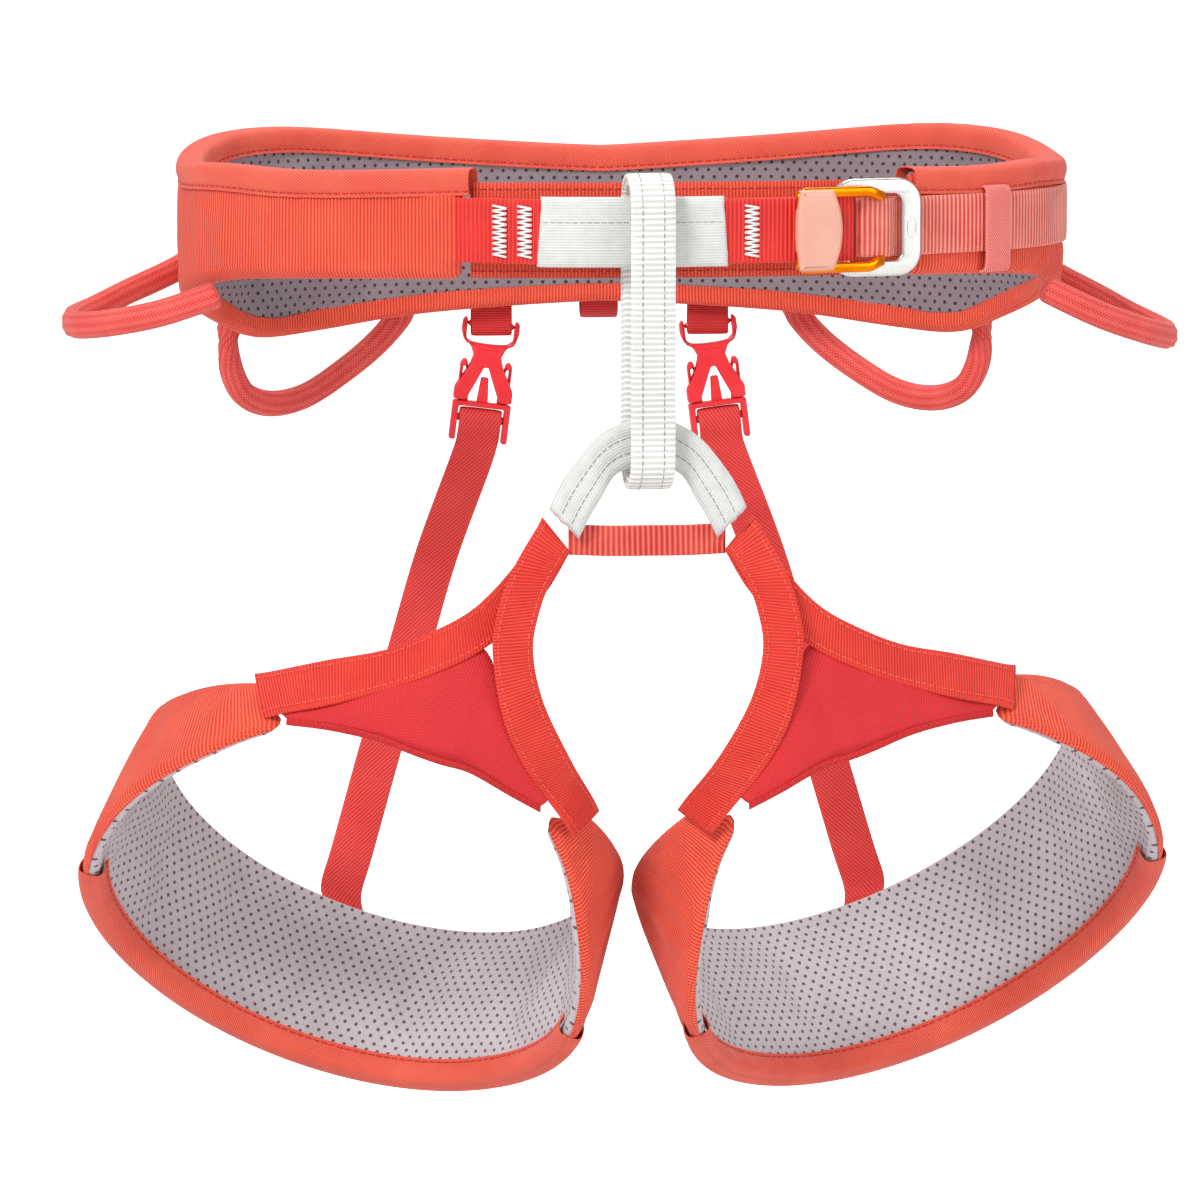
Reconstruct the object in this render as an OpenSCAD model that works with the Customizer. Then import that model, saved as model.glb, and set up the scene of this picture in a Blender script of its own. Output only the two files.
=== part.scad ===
// Climbing harness: padded waist belt with a two-frame waist buckle, tie-in points, belay loop,
// four gear loops, a haul loop, and two fixed leg loops hung from elastic risers.
// Origin: centre of the waist ring, at the height of the belt's front centre line.
// +X is the wearer's left, -Y is the front, +Z is up. Millimetres.
// One-sided pieces are drawn on the wearer's right (x < 0) and mirrored for the left.

/* [Waist belt] */
// Width of the waist ring, outside
waist_w = 322; // [316:2:330]
// Depth of the waist ring, outside
waist_d = 184; // [176:2:196]
// Squareness of the waist ring, 2 is an ellipse
waist_square = 2.4; // [2.2:0.1:2.6]
// Thickness of the belt's foam
belt_foam_t = 5.2; // [4:0.2:5.2]
// Height of the tape that binds the belt's top edge
binding_h = 9; // [7:1:10]

/* [Leg loops] */
// Larger radius of a leg loop
leg_r1 = 97; // [94:1:98]
// Smaller radius of a leg loop
leg_r2 = 93; // [90:1:94]
// Half of the pad's width at the back of the leg
leg_half = 33; // [29:1:34]
// Tilt of the leg axis from the vertical
leg_tilt = 43.2; // [42:0.2:44]
// Turn of the leg axis outwards
leg_splay = 31; // [30:0.5:32]
// Thickness of the leg foam
leg_foam_t = 3.5; // [3:0.5:4]

/* [Webbing] */
// Height of the front tie-in webbing
webbing_h = 23; // [21:1:24]
// Height of the adjusting strap
strap_h = 21; // [19:1:21]
// Thickness of structural webbing
webbing_t = 2; // [1.6:0.2:2]
// Width of the belay loop
belay_w = 16; // [14:1:18]
// Thickness of one ply of the belay loop
belay_ply = 2.15; // [1.8:0.05:2.3]
// Width of the elastic risers
riser_w = 16; // [14:1:18]
// Width of a gear loop's tube
gear_tube = 9.4; // [8:0.2:10]

/* [Hardware] */
// Width of the waist buckle's front frame
frame_len = 31; // [30:1:33]
// Height of the waist buckle's front frame
frame_h = 35; // [32:1:35]
// Thickness of the waist buckle's frames
frame_t = 3; // [2.4:0.2:3]
// Width of a riser buckle
clip_w = 22; // [21:1:24]
// Thickness of a riser buckle
clip_t = 6.4; // [6.4:0.2:7.6]

/* [Hidden] */

gap = 0.1;
fabric_t = 1;
liner_t = 0.8;
tape_t = 1;
mesh_t = 0.8;

// ---- general functions ----

function unit(v) = v / norm(v);
function power(v, e) = sign(v) * pow(abs(v), e);
function total(list) = list * [for (v = list) 1];

// Smooth curve through points, n steps between neighbours
function blend(a, b, c, d, t) =
    0.5 * (2 * b + (c - a) * t + (2 * a - 5 * b + 4 * c - d) * t * t + (3 * b - a - 3 * c + d) * t * t * t);
function smooth(pts, n) = [
    for (i = [0:len(pts) - 2])
        for (k = [0:n - 1])
            blend(pts[max(i - 1, 0)], pts[i], pts[i + 1], pts[min(i + 2, len(pts) - 1)], k / n),
    pts[len(pts) - 1]];

// Direction of a route at point i
function along(pts, i) = unit(pts[min(i + 1, len(pts) - 1)] - pts[max(i - 1, 0)]);

// Points of a flat route moved sideways by off
function beside(pts, off) = [
    for (i = [0:len(pts) - 1])
        let (d = along(pts, i))
        pts[i] + off * [d[1], -d[0]]];

// Solid through cross-sections that have the same, even number of points
module loft(rings) {
    m = len(rings[0]);
    n = len(rings);
    pts = [for (ring = rings) each ring];
    sides = [
        for (i = [0:n - 2])
            for (j = [0:m - 1])
                let (a = i * m + j, b = i * m + (j + 1) % m)
                each [[a, b, b + m], [a, b + m, a + m]]];
    start = [for (j = [0:m / 2 - 2]) each [[j, m - 2 - j, j + 1], [j, m - 1 - j, m - 2 - j]]];
    finish = [for (f = start) [f[0] + (n - 1) * m, f[2] + (n - 1) * m, f[1] + (n - 1) * m]];
    faces = concat(sides, start, finish);
    volume = total([for (f = faces) pts[f[0]] * cross(pts[f[1]], pts[f[2]])]);
    polyhedron(pts, volume < 0 ? faces : [for (f = faces) [f[0], f[2], f[1]]], convexity = 8);
}

// Flat strap through rows of two edge points, t thick
module ribbon(rows, t) {
    n = len(rows);
    mid = [for (row = rows) (row[0] + row[1]) / 2];
    loft([
        for (i = [0:n - 1])
            let (face = unit(cross(along(mid, i), rows[i][1] - rows[i][0])) * t / 2)
            [rows[i][0] + face, rows[i][1] + face, rows[i][1] - face, rows[i][0] - face]]);
}

// Upright strap that follows a route in plan
module plan_strap(route, t, z0, z1) {
    translate([0, 0, z0])
        linear_extrude(z1 - z0)
            polygon(concat(beside(route, t / 2), [for (i = [len(route) - 1:-1:0]) beside(route, -t / 2)[i]]));
}

// Rows of edge points smoothed along their length
function smooth_rows(rows, n) =
    let (a = smooth([for (row = rows) row[0]], n), b = smooth([for (row = rows) row[1]], n))
    [for (i = [0:len(a) - 1]) [a[i], b[i]]];

// Tube along a route, oval in section, with its wide side along up
module tube(route, wide, thin, up) {
    sides = 10;
    loft([
        for (i = [0:len(route) - 1])
            let (d = along(route, i), u = unit(up - d * (up * d)), v = cross(d, u))
            [for (k = [0:sides - 1])
                route[i] + u * wide / 2 * cos(360 * k / sides) + v * thin / 2 * sin(360 * k / sides)]]);
}

module side(s) {
    mirror([s > 0 ? 1 : 0, 0, 0]) children();
}

// ---- waist belt ----

belt_from = -57;
belt_to = 250;
belt_step = 7;
// Heights of the belt's edges by angle from the middle of the back
belt_top_rows = smooth([[0, 17], [20, 21], [45, 26], [65, 25], [90, 19], [115, 20], [135, 19], [165, 21]], 4);
belt_low_rows = smooth([[0, -41], [22, -45], [40, -50], [54, -51], [68, -43], [90, -31], [112, -22],
    [135, -19], [165, -18]], 4);
foam_out = -fabric_t - gap;
foam_in = foam_out - belt_foam_t;
liner_out = foam_in - gap;
liner_in = liner_out - liner_t;

function belt_xy(a, off) = [
    (waist_w / 2 + off) * power(cos(a), 2 / waist_square),
    (waist_d / 2 + off) * power(sin(a), 2 / waist_square)];
function belt_top(a) = lookup(abs(a - 90), belt_top_rows);
function belt_low(a) = lookup(abs(a - 90), belt_low_rows);
function belt_pt(a, off, z) = [belt_xy(a, off)[0], belt_xy(a, off)[1], z];
belt_angles = [for (i = [0:round((belt_to - belt_from) / belt_step)])
    belt_from + i * (belt_to - belt_from) / round((belt_to - belt_from) / belt_step)];

module belt_layer(off0, off1, drop, rise) {
    loft([
        for (a = belt_angles)
            [belt_pt(a, off0, belt_low(a) - rise), belt_pt(a, off0, belt_top(a) - drop),
             belt_pt(a, off1, belt_top(a) - drop), belt_pt(a, off1, belt_low(a) - rise)]]);
}

module waist_shell() {
    color("orangered") belt_layer(0, -fabric_t, tape_t, 0);
}

module waist_foam() {
    color("white") belt_layer(foam_out, foam_in, tape_t + 0.6, -0.8);
}

module waist_liner() {
    color("lightgray") belt_layer(liner_out, liner_in, tape_t, 0.6);
}

// Tape folded over the top edge of the belt
module waist_binding() {
    color("tomato")
        loft([
            for (a = belt_angles)
                let (out = tape_t, cut = gap, in = liner_in - gap, z = belt_top(a))
                [belt_pt(a, out, z - binding_h), belt_pt(a, out, z), belt_pt(a, in - tape_t, z),
                 belt_pt(a, in - tape_t, z - binding_h), belt_pt(a, in, z - binding_h),
                 belt_pt(a, in, z - tape_t + gap), belt_pt(a, cut, z - tape_t + gap),
                 belt_pt(a, cut, z - binding_h)]]);
}

// Inner flap that closes the belt behind the tie-in webbing
flap_rows = [[251, -4.5], [262, -4.5], [278, -4.5], [290, -4.5], [297, -6], [302, -9.6], [311, -9.6]];
flap_low = -18;
flap_top = 16;
module front_flap() {
    route = [for (row = smooth(flap_rows, 4)) belt_xy(row[0], row[1])];
    color("orangered") plan_strap(route, fabric_t, flap_low, flap_top);
}

// ---- tie-in webbing and waist buckle ----

web_low = -webbing_h / 2 - 0.5;
web_top = webbing_h / 2 - 0.5;
strap_low = -strap_h / 2 - 0.5;
strap_top = strap_h / 2 - 0.5;
mid_z = -0.5;
sleeve_y = -104;

// The buckle has its own axes: x along the belt, y inwards, from the hinge bar
hinge_bar = [70.5, -92];
buckle_turn = 14;
function at_buckle(p) = hinge_bar + [
    p[0] * cos(buckle_turn) - p[1] * sin(buckle_turn),
    p[0] * sin(buckle_turn) + p[1] * cos(buckle_turn)];
module buckle_place() {
    translate([hinge_bar[0], hinge_bar[1], mid_z]) rotate([0, 0, buckle_turn]) children();
}

bar_r = 1.7;
fold_r = bar_r + 0.35 + webbing_t / 2;
slide_x = 12.5;
slide_r = 1.4;
strap_t = 1.6;
slide_fold_r = slide_r + 0.25 + strap_t / 2;
sleeve_route = smooth([[-38.5, -100.2], [-28, -102.6], [-14, -103.8], [0, -104], [14, -103.6],
    [28, -102]], 4);

function arc(c, r, a0, a1, n) = [
    for (k = [0:n])
        let (a = a0 + (a1 - a0) * k / n)
        c + r * [cos(a), sin(a)]];

module front_webbing() {
    lead = smooth([[-63, -90.4], [-55, -93.2], [-46, -97], [-38.5, -100.2]], 4);
    run = smooth([[28, -102], [42, -100.2], [55, -98.4], at_buckle([-3, -fold_r])], 3);
    fold = [for (p = arc([0, 0], fold_r, -90, 90, 8)) at_buckle(p)];
    back = smooth([at_buckle([-4, fold_r]), [56, -94.4], [46, -97.3], [34, -99]], 3);
    color("crimson") plan_strap(concat(lead, [for (i = [1:len(sleeve_route) - 2]) sleeve_route[i]],
        run, fold, back), webbing_t, web_low, web_top);
}

// White wear sleeve of the upper tie-in point
sleeve_t = 5.5;
sleeve_wall = 1.6;
module tie_in_sleeve() {
    inner = webbing_t + 2 * gap;
    color("white")
        difference() {
            plan_strap(sleeve_route, sleeve_t, web_low - 1, web_top + 1);
            plan_strap(concat([[-45, -97.6]], sleeve_route, [[34, -101]]), inner,
                web_low - gap, web_top + gap);
        }
}

// Rows of dense zigzag stitches that fix the webbing
tack_t = 0.5;
module bartack(x, y, turn) {
    translate([x, y - tack_t / 2, mid_z])
        rotate([0, 0, turn])
            cube([5.5, tack_t, 18], center = true);
}
module front_bartacks() {
    color("white") {
        bartack(-52, -95.7, -23);
        bartack(-43.4, -99.3, -22);
        bartack(37, -101.95, 7);
    }
}

// Plate outline with rounded corners
module rounded_plate(x0, x1, h, r0, r1) {
    for (s = [-1, 1]) {
        translate([x0 + r0, s * (h / 2 - r0)]) circle(r0, $fn = 48);
        translate([x1 - r1, s * (h / 2 - r1)]) circle(r1, $fn = 48);
    }
    translate([x0 + r0, -h / 2]) square([x1 - x0 - r0 - r1, h]);
    translate([x0, -h / 2 + r0]) square([r0 + 0.01, h - 2 * r0]);
    translate([x1 - r1 - 0.01, -h / 2 + r1]) square([r1 + 0.01, h - 2 * r1]);
}

frame_x0 = -1.5;
frame_x1 = frame_x0 + frame_len;
frame_bar = 7.5;
window_h = 23.8;

// Silver front frame, a closed D with a round hinge bar
module buckle_front_frame() {
    color("silver") buckle_place() {
        rotate([90, 0, 0])
            translate([0, 0, -frame_t / 2])
                linear_extrude(frame_t)
                    difference() {
                        rounded_plate(frame_x0, frame_x1, frame_h, 3, 8);
                        rounded_plate(frame_x0 - 6, frame_x1 - frame_bar, window_h, 1, 3);
                    }
        cylinder(h = window_h + 2, r = bar_r, center = true, $fn = 48);
    }
}

// Anodised fork: two arms, a grip bar and a slide bar
fork_x0 = -19;
arm_h0 = 10.75;
arm_h1 = 14.4;
arm_t = 3;
arm_y1 = -frame_t / 2 - 3.2;
arm_y0 = arm_y1 - arm_t;
module buckle_fork_frame() {
    post_t = 0.9;
    color("orange") buckle_place() {
        for (s = [-1, 1]) {
            translate([fork_x0, arm_y0, s > 0 ? arm_h0 : -arm_h1])
                cube([slide_x - 0.3 - fork_x0, arm_t, arm_h1 - arm_h0]);
            translate([slide_x - slide_r, arm_y1 - 0.1, s > 0 ? arm_h0 : -arm_h0 - post_t])
                cube([2 * slide_r, slide_r - arm_y1 + 0.1, post_t]);
        }
        translate([fork_x0, arm_y0, -arm_h1]) cube([3, arm_t, 2 * arm_h1]);
        translate([slide_x, 0, 0])
            cylinder(h = 2 * (arm_h0 + post_t), r = slide_r, center = true, $fn = 48);
    }
}

// Moulded grip over the fork's bar, barrel-shaped from the front
grip_len = 17;
grip_h = 29;
module buckle_grip() {
    x0 = fork_x0 - 1;
    color("lightsalmon") buckle_place()
        difference() {
            rotate([90, 0, 0])
                translate([0, 0, -arm_y1 - 0.1])
                    linear_extrude(4.6)
                        intersection() {
                            translate([x0 - 12, 0]) circle(grip_len + 12, $fn = 96);
                            translate([x0, -grip_h / 2]) square([grip_len, grip_h]);
                            translate([x0 + grip_len + 6, 0]) circle(grip_len + 8, $fn = 96);
                        }
            translate([fork_x0 - gap, arm_y0 - gap, -arm_h1 - 1])
                cube([3 + 2 * gap, arm_t + 2 * gap, 2 * arm_h1 + 2]);
            for (s = [-1, 1])
                translate([fork_x0 - gap, arm_y0 - gap, s > 0 ? arm_h0 - gap : -arm_h1 - 2])
                    cube([grip_len + 4, arm_t + 2 * gap, arm_h1 - arm_h0 + 2 + gap]);
        }
}

// Strap that loops round the slide bar, then runs over the left hip
strap_off = 1.1;
strap_end = 10;
module adjusting_strap() {
    tail_y = frame_t / 2 + 0.3 + strap_t / 2;
    under = smooth([[24.5, 4.8], [20, 4.7], [16, 3.8], [slide_x, slide_fold_r]], 3);
    fold = arc([slide_x, 0], slide_fold_r, 90, 270, 8);
    over = smooth([[slide_x + 0.6, -slide_fold_r], [16.5, -0.9], [19.5, 1.8], [22, tail_y], [30, tail_y]], 3);
    hip = smooth([for (a = [307:7:360 + strap_end]) belt_xy(a, strap_off)], 2);
    route = concat([for (p = concat(under, [for (i = [1:7]) fold[i]], over)) at_buckle(p)], hip);
    color("tomato") plan_strap(route, strap_t, strap_low, strap_top);
}

// Elastic keeper that holds the strap's tail
keeper_from = 316;
keeper_to = 322;
module strap_keeper() {
    top = strap_top + 0.9;
    low = -18.5;
    near = 1.15;
    out = strap_off + strap_t / 2 + 0.3;
    color("salmon")
        loft([
            for (a = [keeper_from, (keeper_from + keeper_to) / 2, keeper_to])
                [belt_pt(a, near, top + 1.3), belt_pt(a, out + 1, top), belt_pt(a, out + 1, low + 1),
                 belt_pt(a, gap, low), belt_pt(a, gap, low + 1.4), belt_pt(a, out, low + 2.4),
                 belt_pt(a, out, top - 0.4), belt_pt(a, near, top - 0.3)]]);
}

// ---- gear loops and haul loop ----

front_gear_route = [[-149, -45, -26], [-157, -44, -29], [-172, -40, -34], [-189, -29, -38], [-200, -12, -40],
    [-200, 6, -39], [-191, 18, -36], [-180, 28, -31.5], [-168, 37, -27], [-159, 43, -23],
    [-153.5, 46.5, -19]];
rear_gear_route = [[-141, 63, -46], [-141.5, 64, -54], [-140, 66, -65], [-135, 70, -74], [-125, 77, -78],
    [-112, 85, -76], [-98, 92, -68], [-85, 96, -58], [-76, 97, -48], [-72, 95, -40]];
// How much lower the outer end of the left front loop hangs
left_droop = 7;
left_front_gear_route = [for (p = front_gear_route) p - [0, 0, left_droop * (-p[0] - 149) / 51]];
gear_thin = 7;
core_wide = 5;
core_thin = 3;

module gear_sheath(route) {
    color("red")
        difference() {
            tube(smooth(route, 2), gear_tube, gear_thin, [0, 0, 1]);
            tube(smooth(route, 2), core_wide + 0.6, core_thin + 0.6, [0, 0, 1]);
        }
}

module gear_core(route) {
    path = smooth(route, 2);
    color("firebrick") tube([for (i = [1:len(path) - 2]) path[i]], core_wide, core_thin, [0, 0, 1]);
}

// Sewn tabs that hold the upper ends of the gear loops on the belt
module anchor_tab(a, z) {
    color("orangered")
        loft([
            for (k = [-1, 0, 1])
                let (b = a + 4 * k)
                [belt_pt(b, gap, z), belt_pt(b, 1.3, z), belt_pt(b, 1.3, z + 9), belt_pt(b, gap, z + 9)]]);
}
haul_w = 14;
haul_axis = [95.4, -26];
module sewn_anchors() {
    ear_t = 3;
    for (s = [-1, 1])
        side(s) {
            anchor_tab(155, -13);
            anchor_tab(114, -34.5);
        }
    color("orangered") {
        translate([0, haul_axis[0], haul_axis[1]])
            rotate([0, 90, 0])
                cylinder(h = haul_w + 1, r = 1, center = true, $fn = 32);
        for (s = [-1, 1])
            translate([s * (haul_w / 2 + 0.4) - (s < 0 ? ear_t : 0), waist_d / 2 + gap, haul_axis[1] - 2])
                cube([ear_t, haul_axis[0] + 2 - waist_d / 2, 4]);
    }
}

module haul_loop() {
    color("crimson")
        translate([-haul_w / 2, haul_axis[0], haul_axis[1]])
            rotate([90, 0, 90])
                linear_extrude(haul_w)
                    difference() {
                        union() {
                            circle(2.9, $fn = 48);
                            translate([2.6, -17]) circle(5.5, $fn = 48);
                            polygon([[-2.9, 0], [2.9, 0], [8.1, -17], [-2.9, -17]]);
                        }
                        circle(1.2, $fn = 48);
                        translate([2.6, -17]) circle(3.9, $fn = 48);
                        polygon([[-1.2, 0], [1.2, 0], [6.5, -17], [-1.3, -17]]);
                    }
}

// ---- belay loop and lower tie-in point ----

belay_gap = 8;
belay_top = 8;
belay_low = -79.5;
belay_twist = 4;

module stadium(r) {
    translate([0, belay_top]) circle(r, $fn = 72);
    translate([0, belay_low]) circle(r, $fn = 72);
    translate([-r, belay_low]) square([2 * r, belay_top - belay_low]);
}
module belay_ring(r0, r1, w) {
    translate([0, sleeve_y, 0])
        rotate([0, 0, belay_twist])
            translate([-w / 2, 0, 0])
                rotate([90, 0, 90])
                    linear_extrude(w)
                        difference() {
                            stadium(r1);
                            stadium(r0);
                        }
}
module belay_inner_ply() {
    color("white") belay_ring(belay_gap, belay_gap + belay_ply, belay_w - 1);
}
module belay_outer_ply() {
    color("white") belay_ring(belay_gap + belay_ply + gap, belay_gap + 2 * belay_ply + gap, belay_w);
}

// Edge points of the arch, outer then inner, from its right foot to its crown
arch_half = [[[-35, -98], [-25, -110]], [[-32, -91.5], [-21, -102]], [[-28, -85], [-16.5, -94.5]],
    [[-19, -74], [-12, -87]], [[-9.5, -68], [-6.5, -84.4]], [[0, -66.5], [0, -83.6]]];
arch_rows = smooth_rows(concat(arch_half, [for (i = [4:-1:0]) [for (p = arch_half[i]) [-p[0], p[1]]]]), 2);
arch_t = 6;

module arch_band(shrink, t, from, to) {
    loft([
        for (i = [from:to])
            let (a = arch_rows[i][0], b = arch_rows[i][1], d = unit(b - a) * shrink,
                 p = a + d, q = b - d, c = (p + q) / 2, k = 0.72)
            [for (e = [[p, 0], [c + (p - c) * k, -1], [c + (q - c) * k, -1],
                       [q, 0], [c + (q - c) * k, 1], [c + (p - c) * k, 1]])
                [e[0][0], sleeve_y + e[1] * t / 2, e[0][1]]]]);
}
arch_last = len(arch_rows) - 1;
module lower_tie_in_sleeve() {
    color("white")
        difference() {
            arch_band(0, arch_t, 0, arch_last);
            arch_band(2.2, 2.6, 0, arch_last);
        }
}
module bridge_webbing() {
    color("crimson") arch_band(2.5, 2.2, 1, arch_last - 1);
}

// Webbing between the leg loops, behind the feet of the arch
module crotch_strap() {
    half = smooth_rows([[[-28, -99.3, -104.5], [-28, -99.3, -115.5]],
        [[-14, -100, -105], [-14, -100.4, -116]], [[0, -100.2, -105], [0, -100.8, -116]]], 3);
    color("tomato")
        ribbon(concat(half, [for (i = [len(half) - 2:-1:0]) [for (p = half[i]) [-p[0], p[1], p[2]]]]), 1.6);
}

// ---- leg loops ----

leg_c = [-98.3, -22, -241];
leg_axis = [-sin(leg_tilt) * sin(leg_splay), -sin(leg_tilt) * cos(leg_splay), -cos(leg_tilt)];
leg_u = unit([leg_axis[1], -leg_axis[0], 0]);
leg_v = cross(leg_axis, leg_u);
leg_taper = 5;
leg_from = -83;
leg_to = 200;
leg_stations = 38;
leg_step = (leg_to - leg_from) / leg_stations;
bound_from = leg_from + 8 * leg_step;
bound_to = leg_from + 31 * leg_step;
leg_top_rows = smooth([[-90, -21], [-75, -23], [-55, -26], [-30, -31], [0, -33], [60, -33], [110, -33],
    [150, -33], [180, -27], [210, -20]], 4);
leg_low_rows = smooth([[-90, -4], [-80, 1], [-68, 11], [-52, 21], [-35, 29], [-20, 33], [20, 33], [60, 33],
    [110, 33], [145, 33], [160, 27], [175, 17], [190, 2], [205, -9]], 4);
leg_gap = 0.35;
leg_foam_out = -fabric_t - leg_gap;
leg_foam_in = leg_foam_out - leg_foam_t;
leg_liner_out = leg_foam_in - leg_gap;
leg_liner_in = leg_liner_out - liner_t;
leg_tape_h = 10;

// Point on a leg loop: angle, place along the leg axis, distance outside the pad
function leg_pt(a, h, off) =
    let (r = off - leg_taper * (leg_half - h) / (2 * leg_half))
    leg_c + h * leg_axis + (leg_r1 + r) * cos(a) * leg_u + (leg_r2 + r) * sin(a) * leg_v;
function leg_high(a) = lookup(a, leg_top_rows) * leg_half / 33;
function leg_low(a) = lookup(a, leg_low_rows) * leg_half / 33;
function steps(a0, a1, n) = [for (i = [0:n]) a0 + (a1 - a0) * i / n];

// The lower edge reaches further round than the upper one at both ends
end_slant = 7;
function low_turn(a) = a - end_slant * max(0, (leg_from + 38 - a) / 38);
function high_turn(a) = a - end_slant * max(0, (a - leg_to + 38) / 38);

module leg_layer(off0, off1, top, low) {
    loft([
        for (a = steps(leg_from, leg_to, leg_stations))
            let (b = low_turn(a), c = high_turn(a))
            [leg_pt(b, leg_low(a) - low, off0), leg_pt(c, leg_high(a) + top, off0),
             leg_pt(c, leg_high(a) + top, off1), leg_pt(b, leg_low(a) - low, off1)]]);
}
module leg_shell() {
    color("orangered") leg_layer(0, -fabric_t, 0, 1.2);
}
module leg_foam() {
    color("white") leg_layer(leg_foam_out, leg_foam_in, 1.5, 2);
}
module leg_liner() {
    color("lightgray") leg_layer(leg_liner_out, leg_liner_in, 0, 1.2);
}

// Tape folded over the lower edge, round the back of the leg
module leg_binding() {
    out = 0.9;
    in = leg_liner_in - gap;
    color("tomato")
        loft([
            for (a = steps(bound_from, bound_to, 23))
                let (h = leg_low(a))
                [leg_pt(a, h - leg_tape_h, out), leg_pt(a, h, out), leg_pt(a, h, in - tape_t),
                 leg_pt(a, h - leg_tape_h, in - tape_t), leg_pt(a, h - leg_tape_h, in),
                 leg_pt(a, h - tape_t + gap, in), leg_pt(a, h - tape_t + gap, gap),
                 leg_pt(a, h - leg_tape_h, gap)]]);
}

// Edge rows of the two webbings that rise from a leg pad to the tie-in point
outer_web_rows = [[[-132, -62.5, -161], [-129, -78, -174]], [[-112, -77, -155], [-112, -86, -170]],
    [[-92, -88, -150], [-92, -92, -164]], [[-74, -95, -142], [-74, -98, -157]],
    [[-60, -99, -133], [-57, -100.5, -148]], [[-46, -102, -117], [-38, -102, -131]],
    [[-37.5, -102.3, -101.5], [-27.5, -102.3, -114]]];
inner_web_rows = [[[-38.5, -105.2, -103], [-28, -105.2, -113.5]], [[-49, -105.6, -121], [-34, -105.6, -123]],
    [[-54, -106, -136], [-38.5, -106, -134]], [[-55.5, -105.4, -150], [-41, -105, -149]],
    [[-51.5, -102.5, -174], [-37, -101.5, -168]], [[-43, -96, -193], [-27, -92, -189]],
    [[-29, -87, -212.5], [-17.5, -74, -206]]];
gusset_rows = [[[-127, -77, -173.5], [-127, -77.6, -176]], [[-112, -84.7, -171.2], [-112, -86, -177]],
    [[-92, -92.8, -165.2], [-96, -93, -180]], [[-74, -98.6, -158.2], [-82, -97.5, -185]],
    [[-60, -101, -152.5], [-73, -99.5, -188]], [[-55, -102, -172.5], [-63, -100, -191]],
    [[-48.5, -98.2, -189], [-49, -97.5, -199.5]], [[-38.5, -93, -202], [-37.5, -92.3, -206.5]]];

module outer_web() {
    color("orangered") ribbon(smooth_rows(outer_web_rows, 3), webbing_t);
}
module inner_web() {
    color("orangered") ribbon(smooth_rows(inner_web_rows, 3), webbing_t);
}
module gusset() {
    color("crimson") ribbon(smooth_rows(gusset_rows, 3), mesh_t);
}
// Sewn edge of the mesh, just below it
module gusset_edge() {
    rows = smooth_rows(gusset_rows, 3);
    color("red")
        ribbon([for (row = rows) let (d = unit([-0.1, 0.1, -1])) [row[1] + 0.15 * d, row[1] + 2.2 * d]], 1.4);
}

// ---- risers and their quick-release buckles ----

riser_bar = [-41, 93.6, -50.5];
riser_lean = 7;
riser_bar_r = 1.3;
hanger_t = 1.4;
hanger_slack = 1.25;

module hanger() {
    r = riser_bar_r + 0.3 + hanger_t / 2;
    route = concat([[92.85, -26], [92.85, -36], [91.9, -43]],
        arc([riser_bar[1], riser_bar[2] - hanger_slack], r, 180, 360, 8), [[95.2, -43], [94.5, -36], [94.4, -26]]);
    color("red")
        translate([riser_bar[0] - riser_w / 2 + 0.3, 0, 0])
            rotate([90, 0, 90])
                linear_extrude(riser_w - 0.6)
                    polygon(concat(beside(route, hanger_t / 2),
                        [for (i = [len(route) - 1:-1:0]) beside(route, -hanger_t / 2)[i]]));
}

// Buckle axes: x across, y up, from the hanger bar, leaning out at the bottom
module buckle_stand() {
    translate(riser_bar) rotate([90, riser_lean, 0]) children();
}
module slab(t, lift) {
    translate([0, 0, lift - t / 2]) linear_extrude(t) children();
}
half_clip = clip_w / 2;
plate_t = 1.4;
slot_t = clip_t - 2 * plate_t;
hollow_top = -12.3;
foot_y = -29;

module socket_outline() {
    polygon([[-5, -9], [5, -9], [5, -11], [5.6, -15], [half_clip, foot_y + 4],
        [half_clip, foot_y], [6.2, foot_y], [0, -14], [-6.2, foot_y], [-half_clip, foot_y],
        [-half_clip, foot_y + 4], [-5.6, -15], [-5, -11]]);
    for (s = [-1, 1])
        polygon([[0, -7.4], [s * 3.5, -7.3], [s * 6.4, -7], [s * 8.6, -6.6], [s * 9, -5], [s * 9, 1],
            [s * 9.5, 2.4], [s * 10.8, 1.2], [s * 11, -3], [s * 10.4, -6], [s * 6.6, -8.6],
            [s * 5, -9.2], [s * 5, -11], [0, -11]]);
}
// Upper half of the buckle: horns, neck and two hollow legs
module buckle_socket() {
    color("crimson") buckle_stand() {
        difference() {
            slab(clip_t, 0) socket_outline();
            translate([-half_clip + 1.1, foot_y - 5, -slot_t / 2])
                cube([clip_w - 2.2, hollow_top - foot_y + 5, slot_t]);
        }
        rotate([0, 90, 0]) cylinder(h = 19, r = riser_bar_r, center = true, $fn = 32);
    }
}

// Lower half: crossbar, side rails, bottom bar and the guide tongue
module buckle_clip() {
    bar_y = foot_y - 2.4;
    color("crimson") buckle_stand() {
        difference() {
            slab(clip_t, 0)
                translate([-half_clip, bar_y - 13]) square([clip_w, 15]);
            slab(clip_t + 1, 0)
                translate([-riser_w / 2 - 0.6, bar_y - 3]) square([riser_w + 1.2, 3.2]);
            slab(clip_t + 1, 0)
                translate([-riser_w / 2 - 0.6, bar_y - 14]) square([riser_w + 1.2, 8.2]);
        }
        slab(slot_t - 0.5, 0)
            polygon([[-2.2, bar_y + 1.9], [2.2, bar_y + 1.9], [1.4, -20], [-1.4, -20]]);
    }
}

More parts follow.
